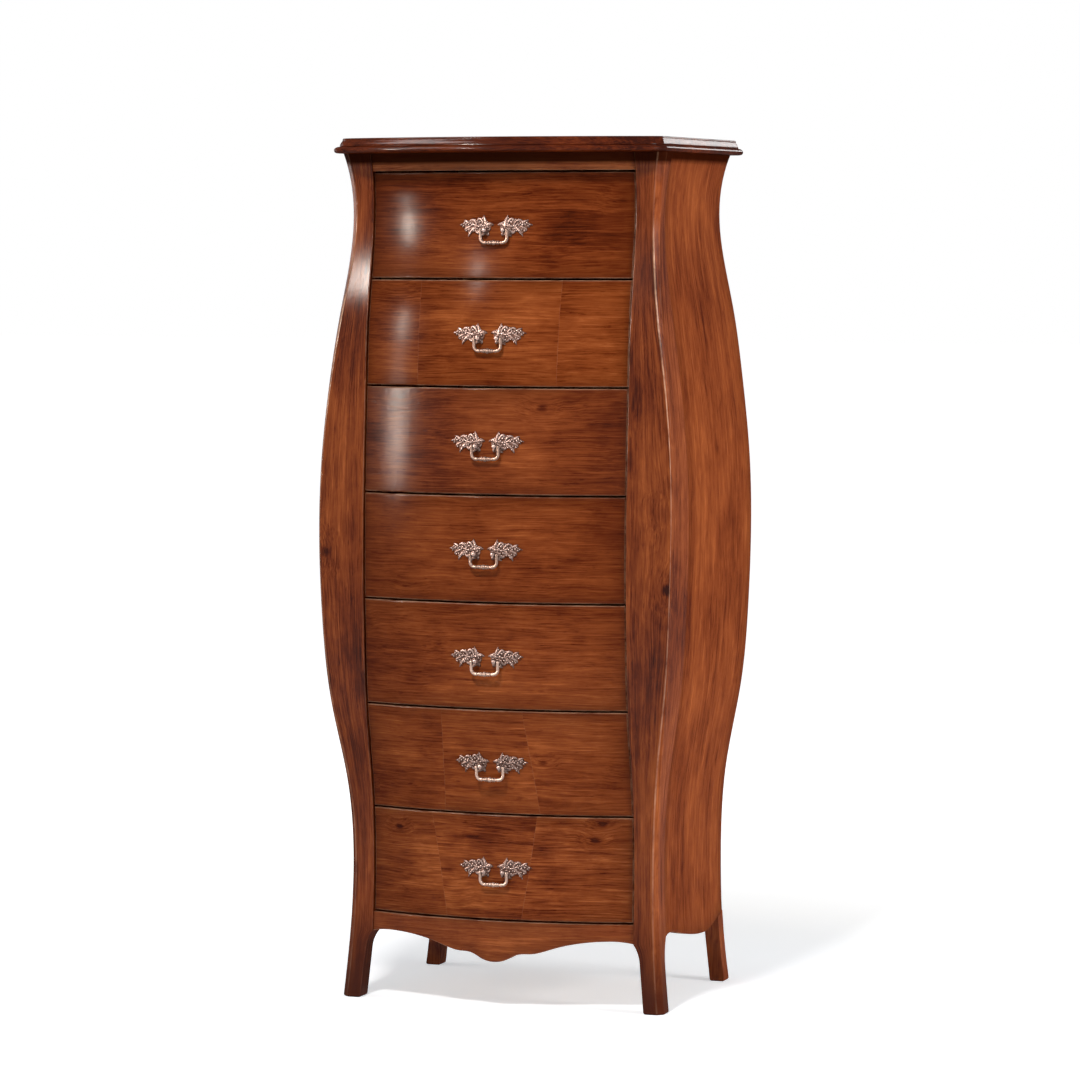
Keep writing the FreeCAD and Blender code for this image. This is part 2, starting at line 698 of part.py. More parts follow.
# ---------------------------------------------------------------- the whole object
def make_case():
    back_panel = between_sides(panel_thickness - back_rabbet, -back_thickness, 0,
                               back_panel_bottom, case_top)
    side_panel = make_side_panel()
    front_post = make_front_post()
    rear_post = make_rear_post(side_panel)
    side_panel = side_panel.cut(back_panel)
    top_screws, screw_holes = make_top_screws()
    back_screws = make_back_screws()
    rear_low = rear_bottom_rail_bottom
    rear_rails = [
        box(-rear_post_inner, rear_post_inner, -back_thickness - rear_rail_thickness,
            -back_thickness, case_top - rear_top_rail_height, case_top),
        box(-rear_post_inner, rear_post_inner, -back_thickness - rear_rail_thickness,
            -back_thickness, rear_low, rear_low + rear_bottom_rail_height)]
    runners = Part.makeCompound([strip for index in range(drawer_count)
                                 for strip in make_runner(index)])
    case = {
        "top_board": make_slab(),
        "top_moulding": make_moulding(),
        "right_side_panel": side_panel,
        "left_side_panel": mirrored(side_panel),
        "front_right_post": front_post,
        "front_left_post": mirrored(front_post),
        "rear_right_post": rear_post,
        "rear_left_post": mirrored(rear_post),
        "back_panel": back_panel,
        "top_rail": between_posts(rail_recess, top_rail_thickness,
                                  opening_top + drawer_gap / 2, case_top),
        "front_apron": make_apron(),
        "rear_rails": Part.makeCompound(rear_rails),
        "bottom_board": make_bottom_board(),
        "glue_blocks": make_glue_blocks(),
        "right_runners": runners,
        "left_runners": mirrored(runners),
    }
    for node in ("top_board", "top_moulding", "top_rail", "rear_rails"):
        for screw in top_screws + screw_holes:
            case[node] = case[node].cut(screw)
    for node in ("back_panel", "rear_right_post", "rear_left_post"):
        for screw in back_screws:
            case[node] = case[node].cut(screw)
    case["top_screws"] = Part.makeCompound(top_screws)
    case["back_screws"] = Part.makeCompound(back_screws)
    return case


os.makedirs("parts", exist_ok=True)
nodes = make_case()
for number in range(1, drawer_count + 1):
    for piece, shape in make_drawer(number).items():
        nodes["drawer_%d_%s" % (number, piece)] = shape

# origin: on the floor, under the middle of the whole object
bail_front = min(pull_place(number)[2] for number in range(1, drawer_count + 1)) - grip_radius
y_shift = -(bail_front + moulding_back_overhang) / 2
for name, shape in nodes.items():
    shape.translate(Vector(0, y_shift, 0))
    shape.exportStep("parts/%s.step" % name)
print("y shift", round(y_shift, 3))
for number in range(1, drawer_count + 1):
    middle, pivot_z, pivot_y = pull_place(number)
    print("bail", number, "axis y", round(pivot_y + y_shift, 3), "z", round(pivot_z, 3))
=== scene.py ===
import json
import math

import bmesh
import bpy
import numpy as np
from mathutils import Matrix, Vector

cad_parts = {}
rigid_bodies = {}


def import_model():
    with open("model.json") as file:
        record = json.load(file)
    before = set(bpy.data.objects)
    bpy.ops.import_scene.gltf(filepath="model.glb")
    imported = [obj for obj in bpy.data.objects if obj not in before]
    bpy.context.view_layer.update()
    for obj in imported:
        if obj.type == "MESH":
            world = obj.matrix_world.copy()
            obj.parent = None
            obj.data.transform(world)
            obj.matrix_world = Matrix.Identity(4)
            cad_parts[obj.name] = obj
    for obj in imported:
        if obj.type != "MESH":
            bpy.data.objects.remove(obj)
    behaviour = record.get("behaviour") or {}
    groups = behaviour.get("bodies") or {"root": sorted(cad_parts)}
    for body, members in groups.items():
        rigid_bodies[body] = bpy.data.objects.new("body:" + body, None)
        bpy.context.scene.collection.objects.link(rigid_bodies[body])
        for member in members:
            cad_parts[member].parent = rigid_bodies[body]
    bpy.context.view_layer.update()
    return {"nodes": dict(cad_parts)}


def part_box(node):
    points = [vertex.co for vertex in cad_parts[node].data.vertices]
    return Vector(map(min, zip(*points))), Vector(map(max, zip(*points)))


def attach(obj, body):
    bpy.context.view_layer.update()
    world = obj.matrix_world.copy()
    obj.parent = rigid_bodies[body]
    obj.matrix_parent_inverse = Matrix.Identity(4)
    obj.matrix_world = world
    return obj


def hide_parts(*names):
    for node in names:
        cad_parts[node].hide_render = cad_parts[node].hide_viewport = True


for leftover in list(bpy.data.objects):
    bpy.data.objects.remove(leftover)
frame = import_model()
bpy.context.scene.view_settings.view_transform = "Standard"

# Lengths are in millimetres with y = 0 on the back of the case, until a piece is added.
MM = 0.001
case_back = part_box("back_panel")[1].y


def new_object(name, data):
    thing = bpy.data.objects.new(name, data)
    bpy.context.scene.collection.objects.link(thing)
    return thing


# ------------------------------ camera
camera = new_object("camera", bpy.data.cameras.new("camera"))
bpy.context.scene.camera = camera
camera_place = (2.3062, -6.3080, 1.117)
camera_tilt, camera_azimuth = 86.2, 20.0
camera.data.lens = 152.13
camera.data.sensor_width = 36.0
camera.location = camera_place
camera.rotation_euler = (math.radians(camera_tilt), 0.0, math.radians(camera_azimuth))

# ------------------------------ sizes as in the CAD part
drawer_count = 7
case_top = 1238.0
neck_height = 1128.0
waist_height = 200.0
ankle_height = 100.0
front_belly_height = 690.0
rear_belly_height = 680.0
depth_belly_height = 620.0
opening_half_width = 202.0
front_bow = 33.0
apron_top = 129.0
drawers_top = 1211.0
drawer_pitch = (drawers_top - apron_top) / drawer_count
drawer_gap = 3.0
drawer_half = 200.5
drawer_recess = 3.5
rail_recess = 2.0
front_thickness = 20.0
rail_thickness = 24.0
apron_thickness = 22.0
panel_thickness = 16.0
front_post_back = -299.0
apron_end_height = 99.5
# a front leg: its straight part, and where its foot stands
leg_height = 74.0
leg_width = 30.5
leg_depth = 28.0
foot_inner = 220.0
foot_back = -315.0
foot_half_width = 15.0
foot_round = 3.0
knee_turn_across = 0.62      # where the bracket curve turns, as shares of its size
knee_turn_down = 0.42
# the top: its outermost line, from the middle and from the back of the case
top_half_width = 255.5
top_front = -359.0
top_back = 10.0
top_corner = 9.6
moulding_top = case_top + 10.0
# a pull, from its middle
lug_offset = 14.4
lug_drop = 7.0
pivot_standoff = 9.0
bail_arm = 20.3
bail_drop = 18.0
bail_corner = 7.0
bail_radius = 2.5
pin_radius = 1.3
pin_start, pin_end = 11.2, 21.0
eye_radius = 1.35

# how the case swells: share of the way, share of the swelling
lower_swell = ((0.27, 0.18), (0.52, 0.67), (0.76, 0.91))
front_upper_swell = ((0.25, 0.07), (0.49, 0.33), (0.73, 0.71))
rear_upper_swell = ((0.25, 0.05), (0.50, 0.27), (0.74, 0.58))
depth_upper_swell = ((0.26, 0.06), (0.56, 0.27), (0.77, 0.50), (0.87, 0.74))
# lower edges: of the apron from its middle, of a side panel from the case's back
apron_edge = ((0, 68.3), (10, 69.3), (19, 72.2), (28, 77), (38, 80.8), (56, 82), (74, 86),
              (93, 92), (125, 99.3), (158, 102.7), (184, 102.5), (202, 99.5))
side_edge = ((-299, 107), (-280, 110.5), (-244, 106), (-194, 96.5), (-144, 89), (-114, 86.5),
             (-86, 86), (-50, 92), (0, 105))


# ------------------------------ curves
def smooth_function(pairs):
    """Cubic spline through (place, value) pairs; its ends lean as a cubic through the last few."""
    places = np.array([pair[0] for pair in pairs], float)
    values = np.array([pair[1] for pair in pairs], float)
    count = len(places)
    order = min(3, count - 1)

    def end_slope(ends, at):
        fit = np.polyfit(places[ends] - at, values[ends], order)
        return fit[-2]

    steps, rises = np.diff(places), np.diff(values)
    matrix = np.eye(count)
    right = np.zeros(count)
    right[0] = end_slope(slice(0, order + 1), places[0])
    right[-1] = end_slope(slice(count - order - 1, count), places[-1])
    for i in range(1, count - 1):
        before, after = steps[i - 1], steps[i]
        matrix[i, i - 1:i + 2] = after, 2 * (before + after), before
        right[i] = 3 * (after * rises[i - 1] / before + before * rises[i] / after)
    slopes = np.linalg.solve(matrix, right)

    def value(at):
        at = np.asarray(at, float)
        i = np.clip(np.searchsorted(places, at, side="right") - 1, 0, count - 2)
        step = steps[i]
        t = (at - places[i]) / step
        return ((1 + 2 * t) * (1 - t) ** 2 * values[i] + t * (1 - t) ** 2 * step * slopes[i]
                + t * t * (3 - 2 * t) * values[i + 1] + t * t * (t - 1) * step * slopes[i + 1])

    return value


def smooth_path(points, samples):
    """Points along a smooth curve through the given ones."""
    points = np.array(points, float)
    lengths = np.linalg.norm(np.diff(points, axis=0), axis=1)
    along = np.concatenate(([0.0], np.cumsum(lengths)))
    at = np.linspace(0.0, along[-1], samples)
    return np.stack([smooth_function(list(zip(along, column)))(at) for column in points.T],
                    axis=1)


def swelling(belly_height, upper_swell, floor, ankle, waist, belly, neck, top):
    """A bombe curve: how far out the case reaches at each height."""
    pairs = [(0.0, floor), (ankle_height, ankle), (waist_height, waist)]
    pairs += [(waist_height + way * (belly_height - waist_height),
               waist + share * (belly - waist)) for way, share in lower_swell]
    pairs.append((belly_height, belly))
    pairs += [(belly_height + way * (neck_height - belly_height),
               belly + share * (neck - belly)) for way, share in upper_swell]
    pairs += [(neck_height, neck), (case_top, top)]
    return smooth_function(pairs)


half_width = swelling(front_belly_height, front_upper_swell,
                      floor=250.0, ankle=241.0, waist=237.5, belly=272.0, neck=236.5, top=249.0)
rear_half_width = swelling(rear_belly_height, rear_upper_swell,
                           floor=240.0, ankle=229.5, waist=227.5, belly=273.5, neck=223.5,
                           top=239.0)
depth = swelling(depth_belly_height, depth_upper_swell,
                 floor=345.0, ankle=338.0, waist=333.5, belly=373.0, neck=330.5, top=339.0)
corner_cut = smooth_function([(0.0, 9.0), (waist_height, 7.0), (depth_belly_height, 2.2),
                              (neck_height, 7.5), (case_top, 10.5)])


def face_y(x, z, recess):
    """The bowed front surface, set back by recess."""
    return -depth(z) + recess - front_bow * (1.0 - (x / opening_half_width) ** 2)


def side_x(y, z):
    """The right side's surface."""
    share = y / (corner_cut(z) - depth(z))
    return rear_half_width(z) + (half_width(z) - rear_half_width(z)) * share


# ------------------------------ mesh tools
def add_piece(name, points, faces, material, body, nodes, slot, sharp_angle=40.0, marks=()):
    """A new piece of the object, from points in millimetres.  marks gives named values at
    the points, which the materials read."""
    mesh = bpy.data.meshes.new(name)
    placed = [(x * MM, y * MM + case_back, z * MM) for x, y, z in points]
    mesh.from_pydata(placed, [], faces)
    mesh.update()
    mesh.polygons.foreach_set("use_smooth", [True] * len(mesh.polygons))
    mesh.set_sharp_from_angle(angle=math.radians(sharp_angle))
    for mark, values in dict(marks).items():
        mesh.attributes.new(mark, "FLOAT", "POINT").data.foreach_set("value", values)
    mesh.materials.append(material)
    piece = new_object(name, mesh)
    normals = piece.modifiers.new("even_normals", "WEIGHTED_NORMAL")
    normals.keep_sharp = True
    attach(piece, body)
    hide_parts(*nodes)


def ring_faces(count, start, other):
    """Faces between two rings of points that begin at start and other."""
    return [(start + i, start + (i + 1) % count, other + (i + 1) % count, other + i)
            for i in range(count)]


def loft(rings):
    """Solid through equal rings of points, with its first and last ring capped."""
    count = len(rings[0])
    points = [tuple(point) for ring in rings for point in ring]
    faces = []
    for level in range(len(rings) - 1):
        faces += ring_faces(count, level * count, (level + 1) * count)
    faces.append(tuple(range(count))[::-1])
    faces.append(tuple(range(len(points) - count, len(points))))
    return points, faces


def mirrored(points, faces):
    return [(-x, y, z) for x, y, z in points], [face[::-1] for face in faces]


def joined(*solids):
    points, faces = [], []
    for some_points, some_faces in solids:
        start = len(points)
        points += some_points
        faces += [tuple(index + start for index in face) for face in some_faces]
    return points, faces


stain_reach = 16.0          # how far the dark stain reaches in from a board's edges
hidden_wear = 0.15
arris_shares = (0.0, 0.8, 1.0, 0.8, 0.0)    # wear and painted highlight across the points of one rounded corner
round_angles = np.radians((0.0, 22.5, 45.0, 67.5, 90.0))


def edge_steps(low, high, low_radius, high_radius, inner):
    """Places from low to high, closer together where the edges are rounded."""
    near = low + low_radius * (1 - np.cos(round_angles))
    far = high - high_radius * (1 - np.cos(round_angles[::-1]))
    return np.concatenate((near, np.linspace(near[-1], far[0], inner + 2)[1:-1], far))


def edge_drop(distance, radius):
    """How far a rounded edge has dropped at a distance from the edge."""
    short = np.clip(radius - distance, 0.0, radius)
    return radius - np.sqrt(np.maximum(radius * radius - short * short, 0.0))


def board(place, start, end, low, high, radii, thickness, columns, rows):
    """Curved board: place(along, z, drop) is a point under its face.  low(along) and
    high(along) are its lower and upper edge; radii are those of its start, end, low and
    high edges."""
    first, last, lower, upper = radii
    along = edge_steps(start, end, first, last, columns)
    points, worn, dark, count = [], [], [], 0
    for on_face in (True, False):
        for at in along:
            z0, z1 = float(low(at)), float(high(at))
            heights = edge_steps(z0, z1, lower, upper, rows)
            count = len(heights)
            drop = np.maximum(
                np.maximum(edge_drop(heights - z0, lower), edge_drop(z1 - heights, upper)),
                max(edge_drop(at - start, first), edge_drop(end - at, last)))
            for z, fall in zip(heights, drop):
                points.append(place(at, z, fall if on_face else thickness))
                # worn marks rounded edges to be painted pale, as wear and as painted highlight
                worn.append(min(1.0, 2.0 * fall / max(radii)) if on_face else hidden_wear)
                nearest = min(at - start, end - at, z - z0, z1 - z)
                dark.append(math.exp(-nearest / stain_reach))
    half = len(along) * count
    faces = []
    for i in range(len(along) - 1):
        for j in range(count - 1):
            a, b = i * count + j, (i + 1) * count + j
            faces.append((a, b, b + 1, a + 1))
            faces.append((half + a + 1, half + b + 1, half + b, half + a))
        a, b = i * count, (i + 1) * count
        faces.append((half + a, half + b, b, a))
        a, b = a + count - 1, b + count - 1
        faces.append((a, b, half + b, half + a))
    for j in range(count - 1):
        faces.append((j, j + 1, half + j + 1, half + j))
        k = half - count + j
        faces.append((half + k, half + k + 1, k + 1, k))
    placed = [tuple(float(value) for value in point) for point in points]
    return placed, faces, {"worn": worn, "dark": dark}


def rounded_ring(corners, radii):
    """Closed outline in plan with each corner rounded by its own radius."""
    ring = []
    count = len(corners)
    for i in range(count):
        here = np.array(corners[i], float)
        before = np.array(corners[i - 1], float) - here
        after = np.array(corners[(i + 1) % count], float) - here
        cut_before = here + before / np.linalg.norm(before) * radii[i]
        cut_after = here + after / np.linalg.norm(after) * radii[i]
        for t in np.linspace(0.0, 1.0, len(arris_shares)):
            ring.append(cut_before * (1 - t) ** 2 + here * 2 * t * (1 - t) + cut_after * t * t)
    return np.array(ring)


# ------------------------------ node materials
def feed(tree, node, inputs):
    """inputs maps a socket's name or number to a value or another node's socket."""
    for key, value in dict(inputs).items():
        if isinstance(value, bpy.types.NodeSocket):
            tree.links.new(value, node.inputs[key])
        else:
            node.inputs[key].default_value = value


def add_node(tree, kind, inputs=(), **settings):
    """A shader node, its kind without ShaderNode in front; settings are the node's own."""
    node = tree.nodes.new("ShaderNode" + kind)
    for key, value in settings.items():
        setattr(node, key, value)
    feed(tree, node, inputs)
    return node


def maths(tree, operation, *values, clamp=False):
    return add_node(tree, "Math", dict(enumerate(values)), operation=operation,
                    use_clamp=clamp).outputs[0]


def vector_maths(tree, operation, *values):
    return add_node(tree, "VectorMath", dict(enumerate(values)),
                    operation=operation).outputs[0]


def mark_value(tree, mark):
    """One of the named values that add_piece sets at a mesh's points."""
    return add_node(tree, "Attribute", attribute_name=mark).outputs["Fac"]


def bumped(tree, height, strength, distance, **under):
    inputs = {"Height": height, "Strength": strength, "Distance": distance, **under}
    return add_node(tree, "Bump", inputs).outputs[0]


def mixed(tree, factor, first, second):
    """First colour at a factor of 0, second colour at 1."""
    return add_node(tree, "Mix", {0: factor, 6: first, 7: second},
                    data_type="RGBA").outputs[2]


def remap(tree, value, low, high, to_low, to_high):
    """The value taken from one range to the other, and kept inside it."""
    return add_node(tree, "MapRange",
                    {"Value": value, "From Min": low, "From Max": high, "To Min": to_low,
                     "To Max": to_high}, clamp=True).outputs[0]


def ramp(tree, factor, stops):
    node = add_node(tree, "ValToRGB", {0: factor})
    band = node.color_ramp
    while len(band.elements) < len(stops):
        band.elements.new(0.5)
    for element, (place, colour) in zip(band.elements, stops):
        element.position = place
        element.color = (*colour, 1.0)
    return node.outputs[0]


def empty_tree(owner):
    owner.use_nodes = True
    owner.node_tree.nodes.clear()
    return owner.node_tree


def new_material(name):
    material = bpy.data.materials.new(name)
    tree = empty_tree(material)
    output = add_node(tree, "OutputMaterial")
    shader = add_node(tree, "BsdfPrincipled")
    feed(tree, output, {0: shader.outputs[0]})
    return material, tree, shader


grain_order = {"X": (0, 1, 2), "Y": (1, 0, 2), "Z": (2, 0, 1)}

walnut_stops = ((0.0, (0.030, 0.0045, 0.0015)), (0.25, (0.108, 0.0180, 0.0042)),
                (0.50, (0.200, 0.0430, 0.0100)), (0.75, (0.285, 0.0700, 0.0170)),
                (1.0, (0.420, 0.1200, 0.0330)))
plain_stops = ((0.0, (0.200, 0.110, 0.050)), (0.45, (0.430, 0.250, 0.120)),
               (1.0, (0.600, 0.410, 0.230)))
board_stops = ((0.0, (0.165, 0.080, 0.035)), (0.5, (0.350, 0.185, 0.085)),
               (1.0, (0.490, 0.290, 0.150)))
# pale colour of rubbed arrises and veneer joints, also laid on the arrises as painted highlight
pale_wear_and_highlight_colour = (0.47, 0.25, 0.15, 1.0)
stain_colour = (0.050, 0.0075, 0.0012, 1.0)
# near-black painted shadow of the top's overhang on the boards just under it
painted_shadow_colour = (0.018, 0.0026, 0.0006, 1.0)
lacquer_ior = 2.1
seam_half_width = 0.0006
leaf_step = 0.61             # how far the figure jumps at a veneer joint
seed_steps = (1.37, 0.73, 0.41)
wander = (0.013, 0.013, 0.013)
eye_push = (0.0, 0.004, 0.007)
bump_depth = 0.0003
# where the stain darkens: outwards along a drawer, and down a leg
ends_span = (0.07, 0.20)
foot_span = (0.02, 0.15)
# strewn knots: how closely, how few of the cells have one, and how far the ring and the core
# reach from the middle, in cells; then the ring and the core of a placed knot
knot_cells = (8.0, 11.0, 13.0)
knot_rarity = 0.66
strewn_ring, strewn_core = (0.02, 0.34), (0.04, 0.09)
placed_ring, placed_core = (0.002, 0.028), (0.0030, 0.0085)
warp_layer = ((5.0, 12.0, 12.0), 2.0)
# the layers of the figure: scale along and across the grain, detail, roughness, distortion
bent_layers = {"streaks": ((10.0, 240.0, 240.0), 4.0, 0.68, 0.15),
               "bands": ((2.2, 75.0, 75.0), 3.0, 0.60, 0.30),
               "fibres": ((18.0, 650.0, 650.0), 3.0, 0.65, 0.0),
               "pale": ((9.0, 380.0, 380.0), 2.0, 0.50, 0.0),
               "flecks": ((45.0, 300.0, 300.0), 3.0, 0.60, 0.0)}
still_layers = {"mottle": ((24.0, 50.0, 50.0), 4.0, 0.65, 0.6),
                "clouds": ((6.0, 11.0, 11.0), 2.5, 0.50, 0.4)}
# how much a layer lightens the wood: the first ones swing round the middle tone, the others
# only add to it or take from it
spot_spans = {"pale": (0.58, 0.70), "flecks": (0.62, 0.72)}
middle_tone = 0.48
swing_weights = {"streaks": 0.66, "bands": 0.58, "mottle": 0.52, "clouds": 1.00, "fibres": 1.00}
spot_weights = {"pale": 0.18, "flecks": -0.20, "near_eye": -0.10, "eye_core": -0.35}


def wood(name, grain, seed, stops=walnut_stops, shift=0.0, lacquer=0.05, gloss_rough=0.14,
         seams=(), knots=(), ends=0.0, rough=0.42, contrast=1.0, foot=0.0, painted_shade_band=(),
         relief=0.18, squeeze=(1.0, 1.0), flow=False):
    """Stained open-grained wood.  The grain runs along one axis; seed moves the figure;
    seams are veneer joints: (x at the middle, lean, height of the middle); knots are (x, z);
    ends is how much darker the stain gets towards the two ends and foot down to the floor;
    crown darkens it between two heights in metres.  squeeze holds the figure steady through
    the thickness of a curved veneer, and flow lets it follow a bent post by the mesh's marks."""
    material, tree, shader = new_material(name)
    place = add_node(tree, "TexCoord").outputs["Object"]
    axes = add_node(tree, "SeparateXYZ", {0: place})
    along, side, rise = (axes.outputs[i] for i in grain_order[grain])

    if flow:
        side = mark_value(tree, "flow")
        squeeze = (1.0, 0.0)

    # each leaf of veneer shows its own part of the figure
    leaf = 0.0
    seam_line = None
    for x0, lean, z0 in seams:
        line = maths(tree, "MULTIPLY_ADD", maths(tree, "SUBTRACT", axes.outputs[2], z0 * MM),
                     lean, x0 * MM)
        apart = maths(tree, "SUBTRACT", axes.outputs[0], line)
        leaf = maths(tree, "ADD", leaf, maths(tree, "GREATER_THAN", apart, 0.0))
        near = maths(tree, "LESS_THAN", maths(tree, "ABSOLUTE", apart), seam_half_width)
        seam_line = near if seam_line is None else maths(tree, "MAXIMUM", seam_line, near)
    start = [seed * step for step in seed_steps]
    moved_along = maths(tree, "ADD", along, start[0])
    if seams:
        moved_along = maths(tree, "MULTIPLY_ADD", leaf, leaf_step, moved_along)
    spot = add_node(tree, "CombineXYZ",
                    {0: moved_along,
                     1: maths(tree, "MULTIPLY_ADD", side, squeeze[0], start[1]),
                     2: maths(tree, "MULTIPLY_ADD", rise, squeeze[1], start[2])}).outputs[0]

    def noise(where, scale, detail, roughness=0.55, distortion=0.0):
        return add_node(tree, "TexNoise",
                        {"Vector": vector_maths(tree, "MULTIPLY", where, scale), "Scale": 1.0,
                         "Detail": detail, "Roughness": roughness,
                         "Distortion": distortion}).outputs

    # knots: small dark eyes that push the grain aside
    cells = vector_maths(tree, "MULTIPLY", spot, knot_cells)
    eyes = add_node(tree, "TexVoronoi", {"Vector": cells, "Scale": 1.0})
    chosen = maths(tree, "GREATER_THAN",
                   add_node(tree, "SeparateColor",
                            {0: eyes.outputs["Color"]}).outputs[0], knot_rarity)
    from_eye = eyes.outputs["Distance"]
    near_eye = maths(tree, "MULTIPLY", remap(tree, from_eye, *strewn_ring, 1.0, 0.0), chosen)
    eye_core = maths(tree, "MULTIPLY", remap(tree, from_eye, *strewn_core, 1.0, 0.0), chosen)
    for x0, z0 in knots:
        beside = maths(tree, "SUBTRACT", axes.outputs[0], x0 * MM)
        above = maths(tree, "MULTIPLY", maths(tree, "SUBTRACT", axes.outputs[2], z0 * MM), 1.5)
        apart = maths(tree, "SQRT", maths(tree, "ADD", maths(tree, "MULTIPLY", beside, beside),
                                          maths(tree, "MULTIPLY", above, above)))
        near_eye = maths(tree, "MAXIMUM", near_eye, remap(tree, apart, *placed_ring, 1.0, 0.0))
        eye_core = maths(tree, "MAXIMUM", eye_core, remap(tree, apart, *placed_core, 1.0, 0.0))
    warp = noise(spot, *warp_layer)["Color"]
    bent = vector_maths(tree, "MULTIPLY_ADD", warp, wander, spot)
    aside = add_node(tree, "VectorMath", {0: eye_push, 3: near_eye},
                     operation="SCALE").outputs[0]
    bent = vector_maths(tree, "ADD", bent, aside)
    part = {layer: noise(bent, *settings)["Fac"] for layer, settings in bent_layers.items()}
    part.update({layer: noise(spot, *settings)["Fac"]
                 for layer, settings in still_layers.items()})
    for layer, span in spot_spans.items():
        part[layer] = remap(tree, part[layer], *span, 0.0, 1.0)
    part.update(near_eye=near_eye, eye_core=eye_core)

    tone = middle_tone + shift
    for layer, weight in swing_weights.items():
        tone = maths(tree, "MULTIPLY_ADD", maths(tree, "SUBTRACT", part[layer], 0.5),
                     weight * contrast, tone)
    for layer, weight in spot_weights.items():
        tone = maths(tree, "MULTIPLY_ADD", part[layer], weight * contrast, tone)
    colour = ramp(tree, tone, stops)
    if seam_line is not None:
        line = maths(tree, "MULTIPLY", seam_line,
                     remap(tree, part["mottle"], 0.4, 0.6, 0.02, 0.10))
        colour = mixed(tree, line, colour, pale_wear_and_highlight_colour)
    # stain gathers towards the edges; the arrises are painted pale, partly as lacquer rubbed
    # through and partly as a painted highlight
    edge = maths(tree, "MULTIPLY", mark_value(tree, "dark"),
                 remap(tree, part["clouds"], 0.35, 0.65, 0.20, 0.68))
    colour = mixed(tree, edge, colour, stain_colour)
    if ends:
        far = remap(tree, maths(tree, "ABSOLUTE", axes.outputs[0]), *ends_span, 0.0, ends)
        colour = mixed(tree, far, colour, stain_colour)
    if foot:
        low = maths(tree, "MULTIPLY", remap(tree, axes.outputs[2], *foot_span, 1.0, 0.0), foot)
        colour = mixed(tree, low, colour, stain_colour)
    # painted shadow of the top's overhang: the wood turns near-black between two heights
    if painted_shade_band:
        shade = remap(tree, axes.outputs[2], *painted_shade_band, 0.0, 0.95)
        colour = mixed(tree, shade, colour, painted_shadow_colour)
    # pale arrises: rubbed-through lacquer and painted highlight
    rubbed_and_highlit = maths(tree, "MULTIPLY", mark_value(tree, "worn"),
                   remap(tree, part["mottle"], 0.35, 0.60, 0.15, 0.85))
    colour = mixed(tree, rubbed_and_highlit, colour, pale_wear_and_highlight_colour)
    roughness = remap(tree, part["streaks"], 0.3, 0.7, rough + 0.07, rough - 0.05)
    height = maths(tree, "MULTIPLY_ADD", part["streaks"], 0.8,
                   maths(tree, "MULTIPLY", part["fibres"], 0.4))
    height = maths(tree, "MULTIPLY_ADD", part["flecks"], -0.4, height)
    fine = bumped(tree, height, relief, bump_depth)
    slow = bumped(tree, part["mottle"], 0.03, 4 * bump_depth, Normal=fine)
    # the lacquer fades out along with the painted shadow under the top
    coat = maths(tree, "MULTIPLY_ADD", shade, -lacquer, lacquer) if painted_shade_band else lacquer
    feed(tree, shader, {"Base Color": colour, "Roughness": roughness, "Normal": slow,
                        "Coat Normal": slow, "Coat Weight": coat, "Coat IOR": lacquer_ior,
                        "Coat Roughness": gloss_rough, "Specular IOR Level": 0.0})
    return material


def metal(name, bright, dark, rough, relief=False):
    """Cast metal, dark in its hollows and worn bright on its high parts."""
    material, tree, shader = new_material(name)
    place = add_node(tree, "TexCoord").outputs["Object"]
    fine, broad = (add_node(tree, "TexNoise",
                            {"Vector": place, "Scale": scale, "Detail": 3.0}).outputs["Fac"]
                   for scale in (700.0, 260.0))
    hollow_reach = 0.005
    wear = add_node(tree, "AmbientOcclusion", {"Distance": hollow_reach},
                    samples=6).outputs["AO"]
    wear = remap(tree, wear, 0.60, 1.0, 0.0, 1.0)
    if relief:
        high = remap(tree, mark_value(tree, "relief"), 0.45, 0.95, 0.0, 1.0)
        wear = maths(tree, "MULTIPLY", wear, high)
    wear = maths(tree, "MULTIPLY_ADD", maths(tree, "SUBTRACT", broad, 0.5), 2.0, wear,
                 clamp=True)
    colour = mixed(tree, wear, (*dark, 1.0), (*bright, 1.0))
    feed(tree, shader, {"Base Color": colour, "Metallic": 0.75,
                        "Roughness": remap(tree, wear, 0.0, 1.0, rough + 0.3, rough),
                        "Normal": bumped(tree, fine, 0.7, bump_depth)})
    return material


veneer_squeeze = (0.05, 1.0)
sides = ((1, "right"), (-1, "left"))
side_seed = {1: 3.7, -1: 4.9}
post_seed = {1: 6.3, -1: 7.7}
post_shift = {1: -0.105, -1: -0.110}
# the rail's tone is set well above the other boards: painted light against the shade under the top
wood_rail = wood("veneer_rail", "X", 1.3, shift=0.36, painted_shade_band=(1.2195, 1.2255),
                  squeeze=veneer_squeeze)
wood_apron = wood("veneer_apron", "X", 3.1, shift=0.125, squeeze=veneer_squeeze)
wood_top = wood("veneer_top", "X", 9.1, shift=-0.36, lacquer=0.045, contrast=0.6)
wood_side = {side: wood("veneer_%s_side" % word, "Z", side_seed[side], shift=0.010,
                        lacquer=0.025, contrast=0.92, painted_shade_band=(1.2215, 1.2295),
                        squeeze=veneer_squeeze) for side, word in sides}
wood_post = {side: wood("solid_%s_post" % word, "Z", post_seed[side], shift=post_shift[side],
                        lacquer=0.060, gloss_rough=0.145, foot=0.9, painted_shade_band=(1.2185, 1.2260),
                        relief=0.10, flow=True) for side, word in sides}
wood_rear = wood("solid_rear_post", "Z", 8.4, shift=-0.02, foot=0.1)
sawn = dict(stops=plain_stops, lacquer=0.0, rough=0.6, contrast=0.8)
wood_inner = wood("inner_wood_sawn", "Y", 2.2, **sawn)
wood_inner_x = wood("inner_wood_rails", "X", 5.2, **sawn)
